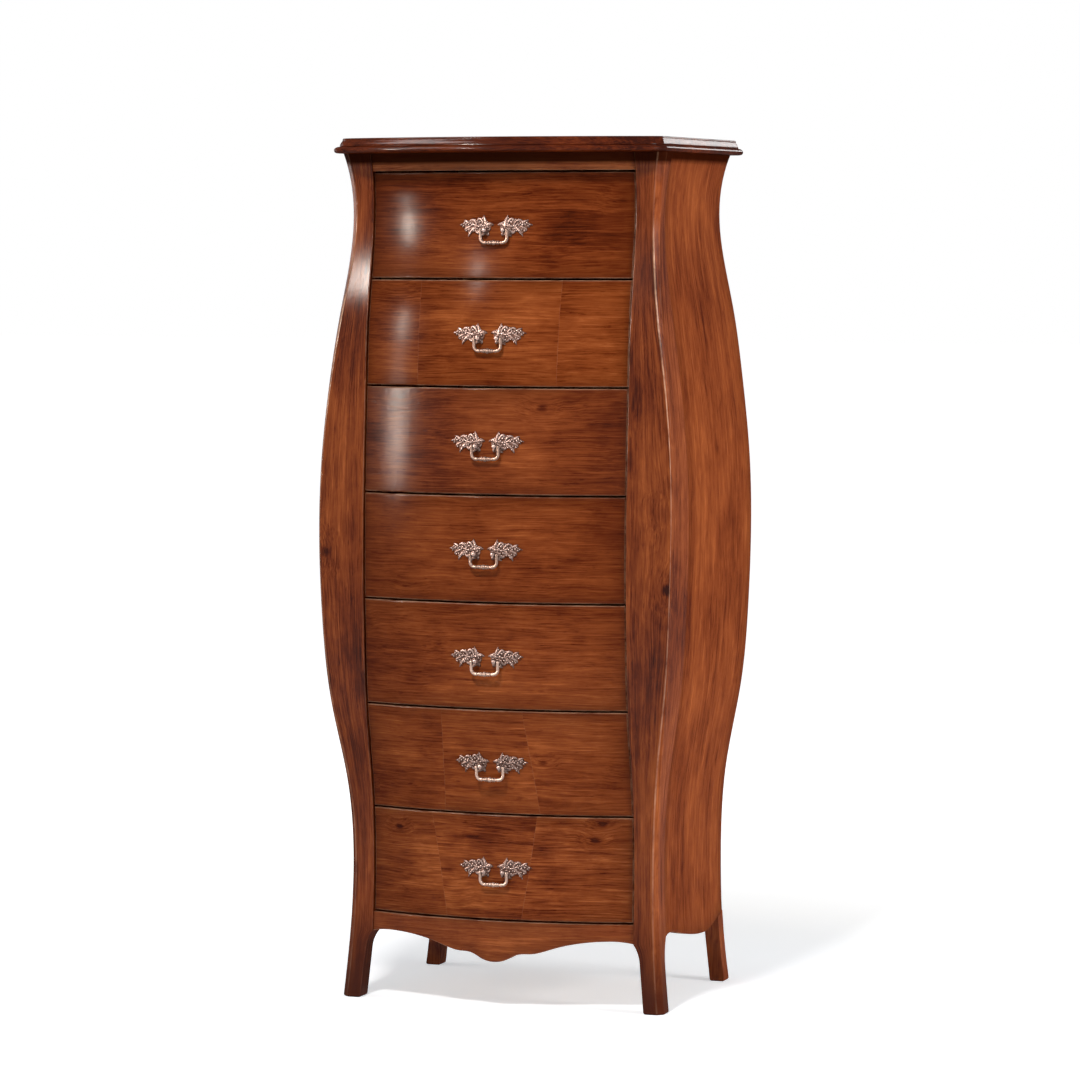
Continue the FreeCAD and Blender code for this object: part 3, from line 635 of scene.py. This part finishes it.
wood_board = wood("back_board_ply", "Z", 2.9, stops=board_stops, lacquer=0.0, rough=0.62,
                  contrast=0.9)
pewter = metal("pewter_cast", (0.29, 0.205, 0.18), (0.075, 0.034, 0.023), 0.30, relief=True)
pewter_bail = metal("pewter_bail", (0.37, 0.255, 0.205), (0.05, 0.024, 0.017), 0.32)
# the photo shows the bails of the upper drawers darker than the others: painted shade, as a darker
# copy of the bail metal
pewter_bail_shaded = metal("pewter_bail_painted_shade", (0.24, 0.155, 0.12), (0.05, 0.024, 0.017), 0.32)
shaded_bails = (1, 2, 3, 4)
steel = metal("screw_steel_plain", (0.50, 0.50, 0.50), (0.14, 0.13, 0.12), 0.35)

# ------------------------------ the case
def leg_curve(post, knee_height, leg_top, leg_floor):
    """One edge of a front post and its leg as a function of the height."""
    knee, leg = (post, knee_height), (leg_top, leg_height)
    turn = (post + (leg_top - post) * knee_turn_across,
            knee_height + (leg_height - knee_height) * knee_turn_down)
    curve = smooth_path([leg, turn, knee], 24)

    def place(z):
        if z >= knee_height:
            return post
        if z <= leg_height:
            return leg_floor + (leg_top - leg_floor) * z / leg_height
        return float(np.interp(z, curve[:, 1], curve[:, 0]))

    return place


def arris_rub_and_highlight(z):
    """How pale a post's arrises are painted, partly as lacquer rubbed off and partly as painted
    highlight: most at the shoulder, least at the top and at the foot."""
    shoulder, spread, fading_top, fading_foot = 950.0, 190.0, 1165.0, 300.0
    rubbed_and_highlit = 0.45 + 0.60 * math.exp(-((z - shoulder) / spread) ** 2)
    rubbed_and_highlit *= float(np.clip((fading_top - z) / 80.0, 0.25, 1.0))
    return rubbed_and_highlit * float(np.clip(z / fading_foot, 0.3, 1.0))


def front_post():
    """The right front post and leg, with its cut corner and softened edges."""
    inner = leg_curve(opening_half_width, apron_end_height,
                      float(half_width(leg_height)) - leg_width, foot_inner)
    back = leg_curve(front_post_back, side_edge[0][1], leg_depth - float(depth(leg_height)),
                     foot_back)
    heights = [foot_round * (1 - math.cos(angle)) for angle in np.radians((0, 30, 60, 90))]
    # the leg, its bracket and the post, each with as many rings as its curve needs
    for low, high, count in ((9, 72, 10), (leg_height, 109, 22), (116, case_top, 110)):
        heights += list(np.linspace(low, high, count))
    inner_arris, cut_arris, back_arris, hidden_arris = 1.4, 1.8, 0.5, 0.8
    # how pale each arris is painted; the cut corner's large value is mostly painted highlight
    arris_wear_and_highlight = (0.5, 1.6, 0.2, 0.2, 0.2)
    rings, worn, plans = [], [], []
    for z in heights:
        w, d, c = (float(curve(z)) for curve in (half_width, depth, corner_cut))
        y_back = back(z)
        corners = [(inner(z), -d), (w - c, -d), (w, c - d), (float(side_x(y_back, z)), y_back),
                   (inner(z), y_back)]
        edge = min(cut_arris, 0.4 * c)
        ring = rounded_ring(corners, (inner_arris, edge, edge, back_arris, hidden_arris))
        inset = foot_round - math.sqrt(max(foot_round ** 2 - max(foot_round - z, 0.0) ** 2, 0.0))
        middle = ring.mean(axis=0)
        ring = middle + (ring - middle) * (1 - inset / foot_half_width)
        rings.append([(x, y, z) for x, y in ring])
        plans.append(ring)
        worn += [share * wear * arris_rub_and_highlight(z) for wear in arris_wear_and_highlight for share in arris_shares]
    steps = np.linalg.norm(np.diff(plans[len(plans) // 2], axis=0), axis=1)
    flow = np.concatenate(([0.0], np.cumsum(steps))) * MM
    return (*loft(rings), {"worn": worn, "flow": list(np.tile(flow, len(rings)))})


def side_panel():
    """The right side, whose lower edge is a smooth line through side_edge."""
    lower = smooth_path(side_edge, 200)

    def place(y, z, drop):
        return side_x(y, z) - drop, y, z

    return board(place, front_post_back, 0.0,
                 lambda y: np.interp(y, lower[:, 0], lower[:, 1]), lambda y: case_top,
                 radii=(0.4, 3.0, 1.6, 0.4), thickness=panel_thickness, columns=30, rows=90)


def bowed_board(recess, half, low, high, radii, thickness, columns, rows):
    """Board between the front posts that follows the bowed front."""
    def place(x, z, drop):
        return x, face_y(x, z, recess) + drop, z

    return board(place, -half, half, low, high, radii, thickness, columns, rows)


def top_outline(inset, z):
    """Plan of the top: straight sides and back, bowed front with cut corners."""
    x, front, back = top_half_width - inset, top_front + inset, top_back - inset / 2
    cut, ease, back_ease, side_start = top_corner, 0.4, 0.7, 60
    rise = front_bow * ((x - cut) / opening_half_width) ** 2
    half = x - cut
    radius = (half * half + rise * rise) / (2 * rise)
    ring = []
    for at in np.linspace(-half, half, 61):
        ring.append((at, front - rise + radius - math.sqrt(radius ** 2 - at ** 2)))
    ring += [(x - ease, front + cut - ease), (x, front + cut), (x, front + cut + 2 * ease)]
    ring += [(x, y) for y in np.linspace(front + side_start, back - 3, 6)]
    ring += [(x, back - back_ease), (x - back_ease, back)]
    ring += [(at, back) for at in np.linspace(x - 3, 3 - x, 12)]
    ring += [(back_ease - x, back), (-x, back - back_ease)]
    ring += [(-x, y) for y in np.linspace(back - 3, front + side_start, 6)]
    ring += [(-x, front + cut + 2 * ease), (-x, front + cut), (ease - x, front + cut - ease)]
    return [(px, py, z) for px, py in ring]


post = front_post()
panel = side_panel()
for side, word in sides:
    shape = post[:2] if side == 1 else mirrored(*post[:2])
    add_piece("front_%s_post_shaped" % word, *shape, wood_post[side], "carcase",
              ["front_%s_post" % word], "solid_wood", marks=post[2])
    shape = panel[:2] if side == 1 else mirrored(*panel[:2])
    add_piece("%s_side_panel_shaped" % word, *shape, wood_side[side], "carcase",
              ["%s_side_panel" % word], "veneer", marks=panel[2])

apron_points = [(-x, z) for x, z in reversed(apron_edge)] + list(apron_edge[1:])
apron_line = smooth_path(apron_points, 400)
apron = bowed_board(rail_recess, opening_half_width,
                    lambda x: np.interp(x, apron_line[:, 0], apron_line[:, 1]),
                    lambda x: apron_top - drawer_gap / 2, radii=(0.7, 0.7, 1.6, 0.9),
                    thickness=apron_thickness, columns=110, rows=5)
add_piece("front_apron_shaped", *apron[:2], wood_apron, "carcase", ["front_apron"], "veneer",
          marks=apron[2])
rail = bowed_board(rail_recess, opening_half_width, lambda x: drawers_top + drawer_gap / 2,
                   lambda x: case_top, radii=(0.5, 0.5, 0.9, 0.2),
                   thickness=rail_thickness, columns=50, rows=3)
add_piece("top_rail_shaped", *rail[:2], wood_rail, "carcase", ["top_rail"], "veneer",
          marks=rail[2])
# edge profiles of the top, upwards: how far in from the outermost line, height above the foot
moulding_profile = ((6.0, 0.0), (2.6, 0.5), (0.9, 1.7), (0.1, 3.6), (0.0, 5.0), (0.5, 6.7),
                    (1.8, 8.2), (3.6, 9.3), (5.6, 9.9), (7.5, 10.0))
slab_profile = ((6.9, 0.0), (6.5, 0.4), (6.6, 1.6), (7.2, 3.6), (8.2, 5.8), (9.2, 7.6),
                (9.7, 8.8), (9.8, 10.2), (10.1, 11.2), (10.8, 11.8), (11.8, 12.0))
for name, profile, foot_height, slot in (
        ("top_moulding", moulding_profile, case_top, "solid_wood"),
        ("top_board", slab_profile, moulding_top, "veneer")):
    rings = [top_outline(inset, foot_height + rise) for inset, rise in profile]
    add_piece("%s_shaped" % name, *loft(rings), wood_top, "carcase", [name], slot)

# ------------------------------ drawers
drawer_arris = 2.0
drawer_gloss = 0.155
# each drawer's veneer, the top one first.  Seams and knots are places on the front.
drawer_looks = {
    1: dict(shift=-0.12, contrast=0.9, ends=0.40, lacquer=0.012),
    2: dict(shift=0.03, contrast=1.0, ends=0.24, lacquer=0.006,
            seams=((-113, 0.0, 979), (102, 0.02, 979))),
    3: dict(shift=-0.07, contrast=0.9, ends=0.34, lacquer=0.038, relief=0.40),
    4: dict(shift=-0.065, contrast=0.9, ends=0.36, lacquer=0.025),
    5: dict(shift=0.04, contrast=1.0, ends=0.34, lacquer=0.025),
    6: dict(shift=0.04, contrast=1.1, ends=0.34, lacquer=0.025,
            seams=((-76, 0.02, 361), (60, -0.12, 361)), knots=((77, 362),)),
    7: dict(shift=0.10, contrast=1.35, ends=0.42, lacquer=0.025,
            seams=((-88, -0.16, 206), (52, 0.16, 206)),
            knots=((-157, 257), (158, 273), (147, 250))),
}


def drawer_low(number):
    return apron_top + (drawer_count - number) * drawer_pitch + drawer_gap / 2


for number in range(1, drawer_count + 1):
    low = drawer_low(number)
    high = low + drawer_pitch - drawer_gap
    material = wood("veneer_drawer_%d" % number, "X", 11.0 + 1.9 * number,
                    gloss_rough=drawer_gloss, squeeze=veneer_squeeze, **drawer_looks[number])
    face = bowed_board(drawer_recess, drawer_half, lambda x: low, lambda x: high,
                       radii=(drawer_arris,) * 4, thickness=front_thickness, columns=44,
                       rows=14)
    add_piece("drawer_%d_front_veneered" % number, *face[:2], material,
              "drawer_%d" % number, ["drawer_%d_front" % number], "veneer", marks=face[2])


# ------------------------------ drawer pulls
# one leaf, by the middle lines of its scrolls and lobes: points (x, z, height, half width)
# from the pull's middle
leaf_strokes = (
    ((14.4, -6.0, 2.2, 1.7), (17.5, -0.5, 2.7, 1.5), (24.0, -1.2, 3.0, 1.3),
     (32.0, 0.8, 2.8, 1.1), (41.0, 2.2, 2.5, 0.9), (47.5, 1.6, 2.3, 0.9), (52.6, 0.2, 1.8, 0.4)),
    ((15.0, -4.0, 2.4, 1.8), (14.6, 1.0, 3.0, 2.3), (16.4, 6.5, 2.8, 1.8), (18.0, 11.9, 1.7, 0.4)),
    ((14.6, -3.0, 2.2, 1.6), (11.0, 1.4, 2.8, 1.9), (7.2, 1.4, 2.3, 1.4), (3.9, 0.1, 1.6, 0.4)),
    ((18.0, 0.5, 2.4, 1.3), (20.4, 5.4, 3.0, 1.5), (24.2, 7.6, 2.8, 1.3), (27.3, 5.4, 2.5, 1.0),
     (25.6, 3.0, 2.3, 0.9), (23.6, 4.0, 2.2, 0.8)),
    ((27.0, 0.4, 2.4, 1.2), (30.0, 4.4, 2.9, 1.4), (34.4, 6.2, 2.7, 1.3), (38.0, 4.6, 2.4, 1.0),
     (36.8, 2.2, 2.2, 0.8)),
    ((38.0, 1.6, 2.2, 1.2), (42.4, 4.4, 2.8, 1.5), (46.9, 6.0, 1.7, 0.4)),
    ((18.6, -2.0, 2.2, 1.3), (22.6, -7.4, 2.9, 1.6), (27.6, -8.0, 2.6, 1.3),
     (29.4, -5.0, 2.3, 1.0), (26.8, -3.8, 2.1, 0.8)),
    ((28.0, -1.6, 2.2, 1.3), (33.6, -5.2, 2.9, 1.8), (37.4, -8.8, 2.5, 1.5),
     (39.6, -13.4, 1.6, 0.4)),
    ((36.0, -0.8, 2.2, 1.1), (41.4, -2.8, 2.7, 1.4), (44.6, -5.2, 2.2, 1.0),
     (42.4, -6.2, 1.9, 0.7)),
    ((44.0, 0.4, 2.0, 1.0), (48.6, -2.4, 1.8, 0.6)),
    ((14.6, -8.0, 2.2, 1.7), (18.4, -10.6, 2.7, 1.6), (24.4, -12.8, 1.6, 0.4)),
    ((13.6, -8.2, 2.2, 1.5), (11.0, -10.4, 2.5, 1.4), (12.2, -12.0, 1.8, 0.7)),
    ((13.6, -5.0, 2.2, 1.4), (10.4, -5.6, 2.5, 1.2), (8.6, -3.0, 2.0, 0.7), (10.4, -1.6, 1.8, 0.6)),
)
# its beads: x, z and radius
leaf_beads = ((23.6, 4.0, 1.5), (36.8, 2.2, 1.3), (26.8, -3.8, 1.4), (42.4, -6.2, 1.1),
              (21.0, 0.6, 1.6), (31.6, -2.6, 1.1), (15.8, -0.2, 1.7), (11.6, -2.4, 1.3),
              (19.2, 8.6, 1.1), (22.4, -4.4, 1.2), (33.2, 2.6, 1.1), (35.4, -6.6, 1.1),
              (45.4, 3.4, 1.1), (17.0, -8.2, 1.2), (12.6, 3.6, 1.2), (30.0, 6.6, 1.0),
              (38.4, -5.2, 1.1), (47.2, -0.6, 1.1), (21.6, -9.6, 1.0), (24.2, -1.1, 1.6),
              (27.8, 1.2, 1.2), (29.4, -3.9, 1.1), (34.6, 0.2, 1.5), (40.0, 3.4, 1.2),
              (39.2, 0.4, 1.3), (43.4, 1.2, 1.4), (18.6, 2.6, 1.4), (15.6, 5.4, 1.2),
              (17.2, -3.6, 1.5), (20.2, -6.4, 1.3), (24.6, -7.2, 1.2), (13.0, -7.6, 1.3),
              (31.4, -6.4, 1.2), (36.6, -9.2, 1.1), (25.8, 6.0, 1.1), (32.6, 5.4, 1.1),
              (9.0, 1.0, 1.2), (49.4, 0.8, 1.1))
# outline of the thin plate behind them
leaf_back = ((6.5, 0.0), (12.5, 2.8), (16.0, 6.5), (18.5, 8.6), (21.5, 6.2), (26.5, 5.4),
             (31.0, 4.6), (36.0, 4.6), (41.5, 3.2), (47.0, 2.6), (48.6, 0.4), (45.0, -2.2),
             (41.6, -5.0), (37.6, -9.4), (33.0, -7.4), (28.0, -7.2), (23.6, -10.4),
             (18.0, -10.2), (13.0, -10.4), (10.6, -6.2))
leaf_back_height = 1.3
leaf_back_growth = (1.04, 1.10)
stroke_widening = 1.15
bead_height = 2.4
leaf_stretch = (1.08, 1.22)
leaf_shift = -1.2
full_relief = 3.6            # height off the face at which a leaf is worn bright
# solids of revolution: place along the axis and radius
lug_profile = ((-3.4, 1.2), (-3.3, 2.0), (-2.9, 2.7), (-2.2, 3.1), (-1.4, 3.2), (1.4, 3.2),
               (2.4, 3.0), (3.2, 2.6), (4.4, 2.45), (5.4, 2.6), (6.2, 3.1), (7.0, 3.6),
               (8.4, 4.2), (9.6, 4.4))
grip_profile = ((0.0, 3.5), (1.8, 3.3), (2.9, 2.5), (3.3, 2.4), (3.9, 2.9), (4.8, 3.25),
                (5.7, 2.8), (6.2, 2.3), (6.8, 2.7), (7.6, 3.0), (8.4, 2.6), (9.0, 2.1),
                (10.5, 2.1), (13.3, 2.4))
screw_head_profile = ((0.0, 3.8), (1.2, 3.6), (1.9, 2.6), (2.1, 1.0))
screw_radius = 2.0
screw_tip = 9.4              # behind the pivot
# sides of the round parts of a leaf, of the lugs, and of the bails and screws
leaf_sides, lug_sides, rod_sides = 10, 20, 16


def circle(count):
    """Cosine and sine of that many angles all round."""
    return [(math.cos(angle), math.sin(angle))
            for angle in np.linspace(0.0, 2 * math.pi, count, endpoint=False)]


def sideways(line, i):
    """Unit vector square to a plane line at its point i."""
    ahead = line[min(i + 1, len(line) - 1)] - line[max(i - 1, 0)]
    return np.array((-ahead[1], ahead[0])) / np.hypot(ahead[0], ahead[1])


def scroll(points):
    """A tapered half-round scroll: points in plan (x, z) with their height off the face."""
    line = smooth_path(points, 5 * len(points))
    rings = []
    for i, (x, z, high, wide) in enumerate(line):
        reach = sideways(line, i) * stroke_widening * max(wide, 0.25)
        rings.append([(x + reach[0] * out, z + reach[1] * out, high * 0.5 * (1.0 + up))
                      for out, up in circle(leaf_sides)])
    return loft(rings)


def bead(x, z, high, radius):
    rings = []
    for angle in np.radians((4, 28, 52, 76, 100, 124, 148, 172)):
        r, h = radius * math.sin(angle), high + radius * math.cos(angle)
        rings.append([(x + r * out, z + r * up, h) for out, up in circle(leaf_sides)])
    return loft(rings[::-1])


def leaf_solid():
    """One right-hand leaf: x, z and height off the drawer's face."""
    solids = [scroll(points) for points in leaf_strokes]
    solids += [bead(x, z, bead_height, radius) for x, z, radius in leaf_beads]
    outline = smooth_path(list(leaf_back) + [leaf_back[0]], 90)[:-1]
    middle = outline.mean(axis=0)
    outline = middle + (outline - middle) * leaf_back_growth
    solids.append(loft([[(x, z, h) for x, z in outline] for h in (leaf_back_height, 0.0)]))
    points, faces = joined(*solids)
    return [(leaf_stretch[0] * x + leaf_shift, leaf_stretch[1] * z, high)
            for x, z, high in points], faces


def turned(profile, sides_round=lug_sides):
    """Solid of revolution round the y axis from (y, radius) pairs."""
    rings = [[(r * out, y, r * up) for out, up in circle(sides_round)] for y, r in profile]
    return loft(rings)


def pulled_through(solid, radius):
    """The same solid with a hole of that radius along x through its origin."""
    made = []
    beyond = 8.0
    across = turned([(-beyond, radius), (beyond, radius)])
    for name, (points, faces) in (("lug", solid), ("eye", across)):
        mesh = bpy.data.meshes.new(name)
        if name == "eye":
            points = [(y, x, z) for x, y, z in points]
        mesh.from_pydata(points, [], faces)
        shaper = bmesh.new()
        shaper.from_mesh(mesh)
        bmesh.ops.recalc_face_normals(shaper, faces=shaper.faces)
        shaper.to_mesh(mesh)
        shaper.free()
        made.append(new_object(name, mesh))
    cut = made[0].modifiers.new("eye", "BOOLEAN")
    cut.operation, cut.object, cut.solver = "DIFFERENCE", made[1], "EXACT"
    bpy.context.view_layer.update()
    shown = made[0].evaluated_get(bpy.context.evaluated_depsgraph_get()).to_mesh()
    points = [tuple(vertex.co) for vertex in shown.vertices]
    faces = [tuple(polygon.vertices) for polygon in shown.polygons]
    for thing in made:
        bpy.data.objects.remove(thing)
    return points, faces


def bail_solid():
    """Bail hanging from its pivot at the origin, with a turned grip and two pins."""
    corner, low = bail_corner, -bail_drop
    arm = [(bail_arm, z) for z in np.linspace(1.6, low + corner, 14)]
    bend = [(bail_arm - corner + corner * math.cos(a), low + corner - corner * math.sin(a))
            for a in np.linspace(0.0, math.pi / 2, 13)[1:]]
    bar = [(x, low) for x in np.linspace(bail_arm - corner, 0.0, 34)[1:]]
    right = arm + bend + bar
    line = np.array(right + [(-x, z) for x, z in right[-2::-1]])
    grip = smooth_function(grip_profile)
    rings = []
    for i, (x, z) in enumerate(line):
        normal = sideways(line, i)
        if abs(x) < bail_arm - corner:
            radius = float(grip(abs(x)))
        else:
            height = (z - low) / bail_drop
            radius = bail_radius - 0.3 * math.sin(math.pi * height)
            if i in (0, len(line) - 1):
                radius = 1.4
        rings.append([(x + normal[0] * radius * out, radius * up, z + normal[1] * radius * out)
                      for out, up in circle(rod_sides)])
    pin = turned([(pin_start, pin_radius), (pin_end, pin_radius)], rod_sides)
    pin = ([(y, x, z) for x, y, z in pin[0]], [face[::-1] for face in pin[1]])
    return joined(loft(rings), pin, mirrored(*pin))


leaf = leaf_solid()
lug = pulled_through(turned(lug_profile), eye_radius)
bail = bail_solid()

for number in range(1, drawer_count + 1):
    middle = drawer_low(number) - drawer_gap / 2 + drawer_pitch / 2
    pivot_z = middle - lug_drop
    pivot_y = float(face_y(lug_offset, pivot_z, drawer_recess)) - pivot_standoff
    inner_y = float(face_y(lug_offset, pivot_z, drawer_recess + front_thickness))
    on_face = [(x, float(face_y(x, middle + z, drawer_recess)) - high, middle + z)
               for x, z, high in leaf[0]]
    relief = [min(1.0, high / full_relief) for x, z, high in leaf[0]]
    lug_here = ([(x + lug_offset, y + pivot_y, z + pivot_z) for x, y, z in lug[0]], lug[1])
    screw = [(pivot_y + screw_tip, screw_radius), (inner_y, screw_radius)]
    screw += [(inner_y + behind, radius) for behind, radius in screw_head_profile]
    screw = turned(screw, rod_sides)
    screw = ([(x + lug_offset, y, z + pivot_z) for x, y, z in screw[0]], screw[1])
    half = joined((on_face, leaf[1]), lug_here, screw)
    points, faces = joined(half, mirrored(*half))
    relief += [1.0] * len(lug_here[0]) + [0.6] * len(screw[0])
    add_piece("drawer_%d_pull_leaves" % number, points, faces, pewter, "drawer_%d" % number,
              ["drawer_%d_pull_plates" % number], "pewter", sharp_angle=60.0,
              marks={"relief": relief + relief})
    points = [(x, y + pivot_y, z + pivot_z) for x, y, z in bail[0]]
    # the bails of the upper drawers take the darker copy of the metal: painted shade
    add_piece("drawer_%d_bail_turned" % number, points, bail[1],
              pewter_bail_shaded if number in shaded_bails else pewter_bail,
              "bail_%d" % number, ["drawer_%d_bail" % number], "pewter", sharp_angle=60.0)

# ------------------------------ carried-over CAD nodes
carried = {"rear_right_post": wood_rear, "rear_left_post": wood_rear,
           "back_panel": wood_board, "rear_rails": wood_inner_x, "bottom_board": wood_inner_x,
           "glue_blocks": wood_inner, "right_runners": wood_inner, "left_runners": wood_inner,
           "top_screws": steel, "back_screws": steel}
for number in range(1, drawer_count + 1):
    carried["drawer_%d_sides" % number] = wood_inner
    carried["drawer_%d_back" % number] = wood_inner_x
    carried["drawer_%d_bottom" % number] = wood_board
for name, material in carried.items():
    node = frame["nodes"][name]
    for index in range(len(node.material_slots)):
        node.material_slots[index].material = material

# ------------------------------ floor, world and lamps
floor_mesh = bpy.data.meshes.new("floor")
far = 40.0
floor_mesh.from_pydata([(-far, -far, 0), (far, -far, 0), (far, far, 0), (-far, far, 0)], [],
                       [(0, 1, 2, 3)])
new_object("floor", floor_mesh)


def seen_directly(tree):
    """1 for what the camera sees, also in gloss and through glass."""
    path = add_node(tree, "LightPath").outputs
    seen = maths(tree, "ADD", path["Is Camera Ray"], path["Is Glossy Ray"])
    return maths(tree, "ADD", seen, path["Is Transmission Ray"], clamp=True)


floor_material = bpy.data.materials.new("floor_white")
tree = empty_tree(floor_material)
output = add_node(tree, "OutputMaterial")
lit = add_node(tree, "BsdfDiffuse", {"Color": (0.90, 0.90, 0.90, 1.0)})
glow = add_node(tree, "Emission")
spot = add_node(tree, "TexCoord").outputs["Object"]
distance = add_node(tree, "VectorMath", {0: spot}, operation="LENGTH").outputs[1]
# the floor glows a little, more far off; the weaker glow near the case paints shade there
near_glow, far_glow = 0.43, 0.82
near_tint, plain_white = (0.955, 1.0, 1.05, 1.0), (1.0, 1.0, 1.0, 1.0)
glow_level = remap(tree, distance, 0.7, 1.7, near_glow, far_glow)
feed(tree, glow, {"Strength": maths(tree, "MULTIPLY", seen_directly(tree), glow_level)})
# near the red wood the glow is tinted cooler to stay neutral: painted offset of the red bounce
# light
tinted = remap(tree, distance, 0.5, 0.9, 0.0, 1.0)
feed(tree, glow, {"Color": mixed(tree, tinted, near_tint, plain_white)})
both = add_node(tree, "AddShader", {0: lit.outputs[0], 1: glow.outputs[0]})
feed(tree, output, {0: both.outputs[0]})
floor_mesh.materials.append(floor_material)

world = bpy.data.worlds.new("studio")
bpy.context.scene.world = world
tree = empty_tree(world)
output = add_node(tree, "OutputWorld")
sky = add_node(tree, "Background", {"Color": plain_white})
sky_light = 0.25
feed(tree, sky, {"Strength": maths(tree, "MULTIPLY_ADD", seen_directly(tree),
                                   1.0 - sky_light, sky_light)})
feed(tree, output, {0: sky.outputs[0]})


def lamp(name, azimuth, elevation, distance, width, height, power, target=(0.0, 0.0, 0.7),
         colour=(1.0, 1.0, 1.0), gloss_only=False):
    """Soft box that faces its target.  Azimuth 0 is in front, 90 on the right."""
    light = bpy.data.lights.new(name, "AREA")
    light.shape = "RECTANGLE"
    light.size, light.size_y = width, height
    light.energy = power
    light.color = colour
    thing = new_object(name, light)
    a, e = math.radians(azimuth), math.radians(elevation)
    way = Vector((math.sin(a) * math.cos(e), -math.cos(a) * math.cos(e), math.sin(e)))
    thing.location = Vector(target) + way * distance
    thing.rotation_euler = way.to_track_quat("Z", "Y").to_euler()
    thing.visible_camera = False
    if gloss_only:
        thing.visible_diffuse = False
    else:
        thing.visible_glossy = False


# name, azimuth, elevation, distance, width, height, power
lamp("key_front", 3.0, 47.0, 3.6, 0.35, 0.35, 83.0)
lamp("fill_left", -88.0, 20.0, 4.0, 2.4, 2.0, 30.0)
lamp("side_right", 84.0, 8.0, 4.0, 1.6, 1.4, 119.0)

# strips that show only as reflections in the lacquer, each with the place it is aimed at
left_post, right_post = (-0.237, -0.15, 1.05), (0.237, -0.15, 1.0)
first_drawer, third_drawer = (-0.143, -0.14, 1.12), (-0.146, -0.14, 0.83)
whole_case, right_top = (0.0, 0.0, 0.7), (0.25, 0.0, 1.25)
white, cream, warm = (1.0, 1.0, 1.0), (1.0, 0.91, 0.83), (1.0, 0.87, 0.76)
for settings in (
        ("gloss_stile", -22.4, 26.3, 2.5, 0.05, 0.40, 74.0, left_post, cream),
        ("gloss_drawers_high", -47.8, 9.1, 4.0, 0.10, 0.52, 186.0, first_drawer, warm),
        ("gloss_drawers_low", -47.8, 4.3, 4.0, 0.13, 0.90, 51.0, first_drawer, warm),
        ("gloss_third_drawer", -48.4, 3.9, 4.0, 0.28, 0.34, 30.0, third_drawer, warm),
        ("gloss_arrises", -55.0, 52.0, 3.0, 1.0, 0.8, 90.0, whole_case, white),
        ("gloss_left_rim", -112.0, 4.0, 3.0, 0.6, 2.6, 62.0, left_post, white),
        ("gloss_ridge_arris", 45.0, 20.0, 4.0, 1.2, 0.8, 112.0, right_post, white),
        ("gloss_ridge", 71.0, 17.0, 4.0, 0.5, 1.0, 10.0, right_post, white),
        ("gloss_top_right", 168.0, 13.0, 3.0, 0.8, 0.45, 55.0, right_top, white)):
    lamp(*settings, gloss_only=True)
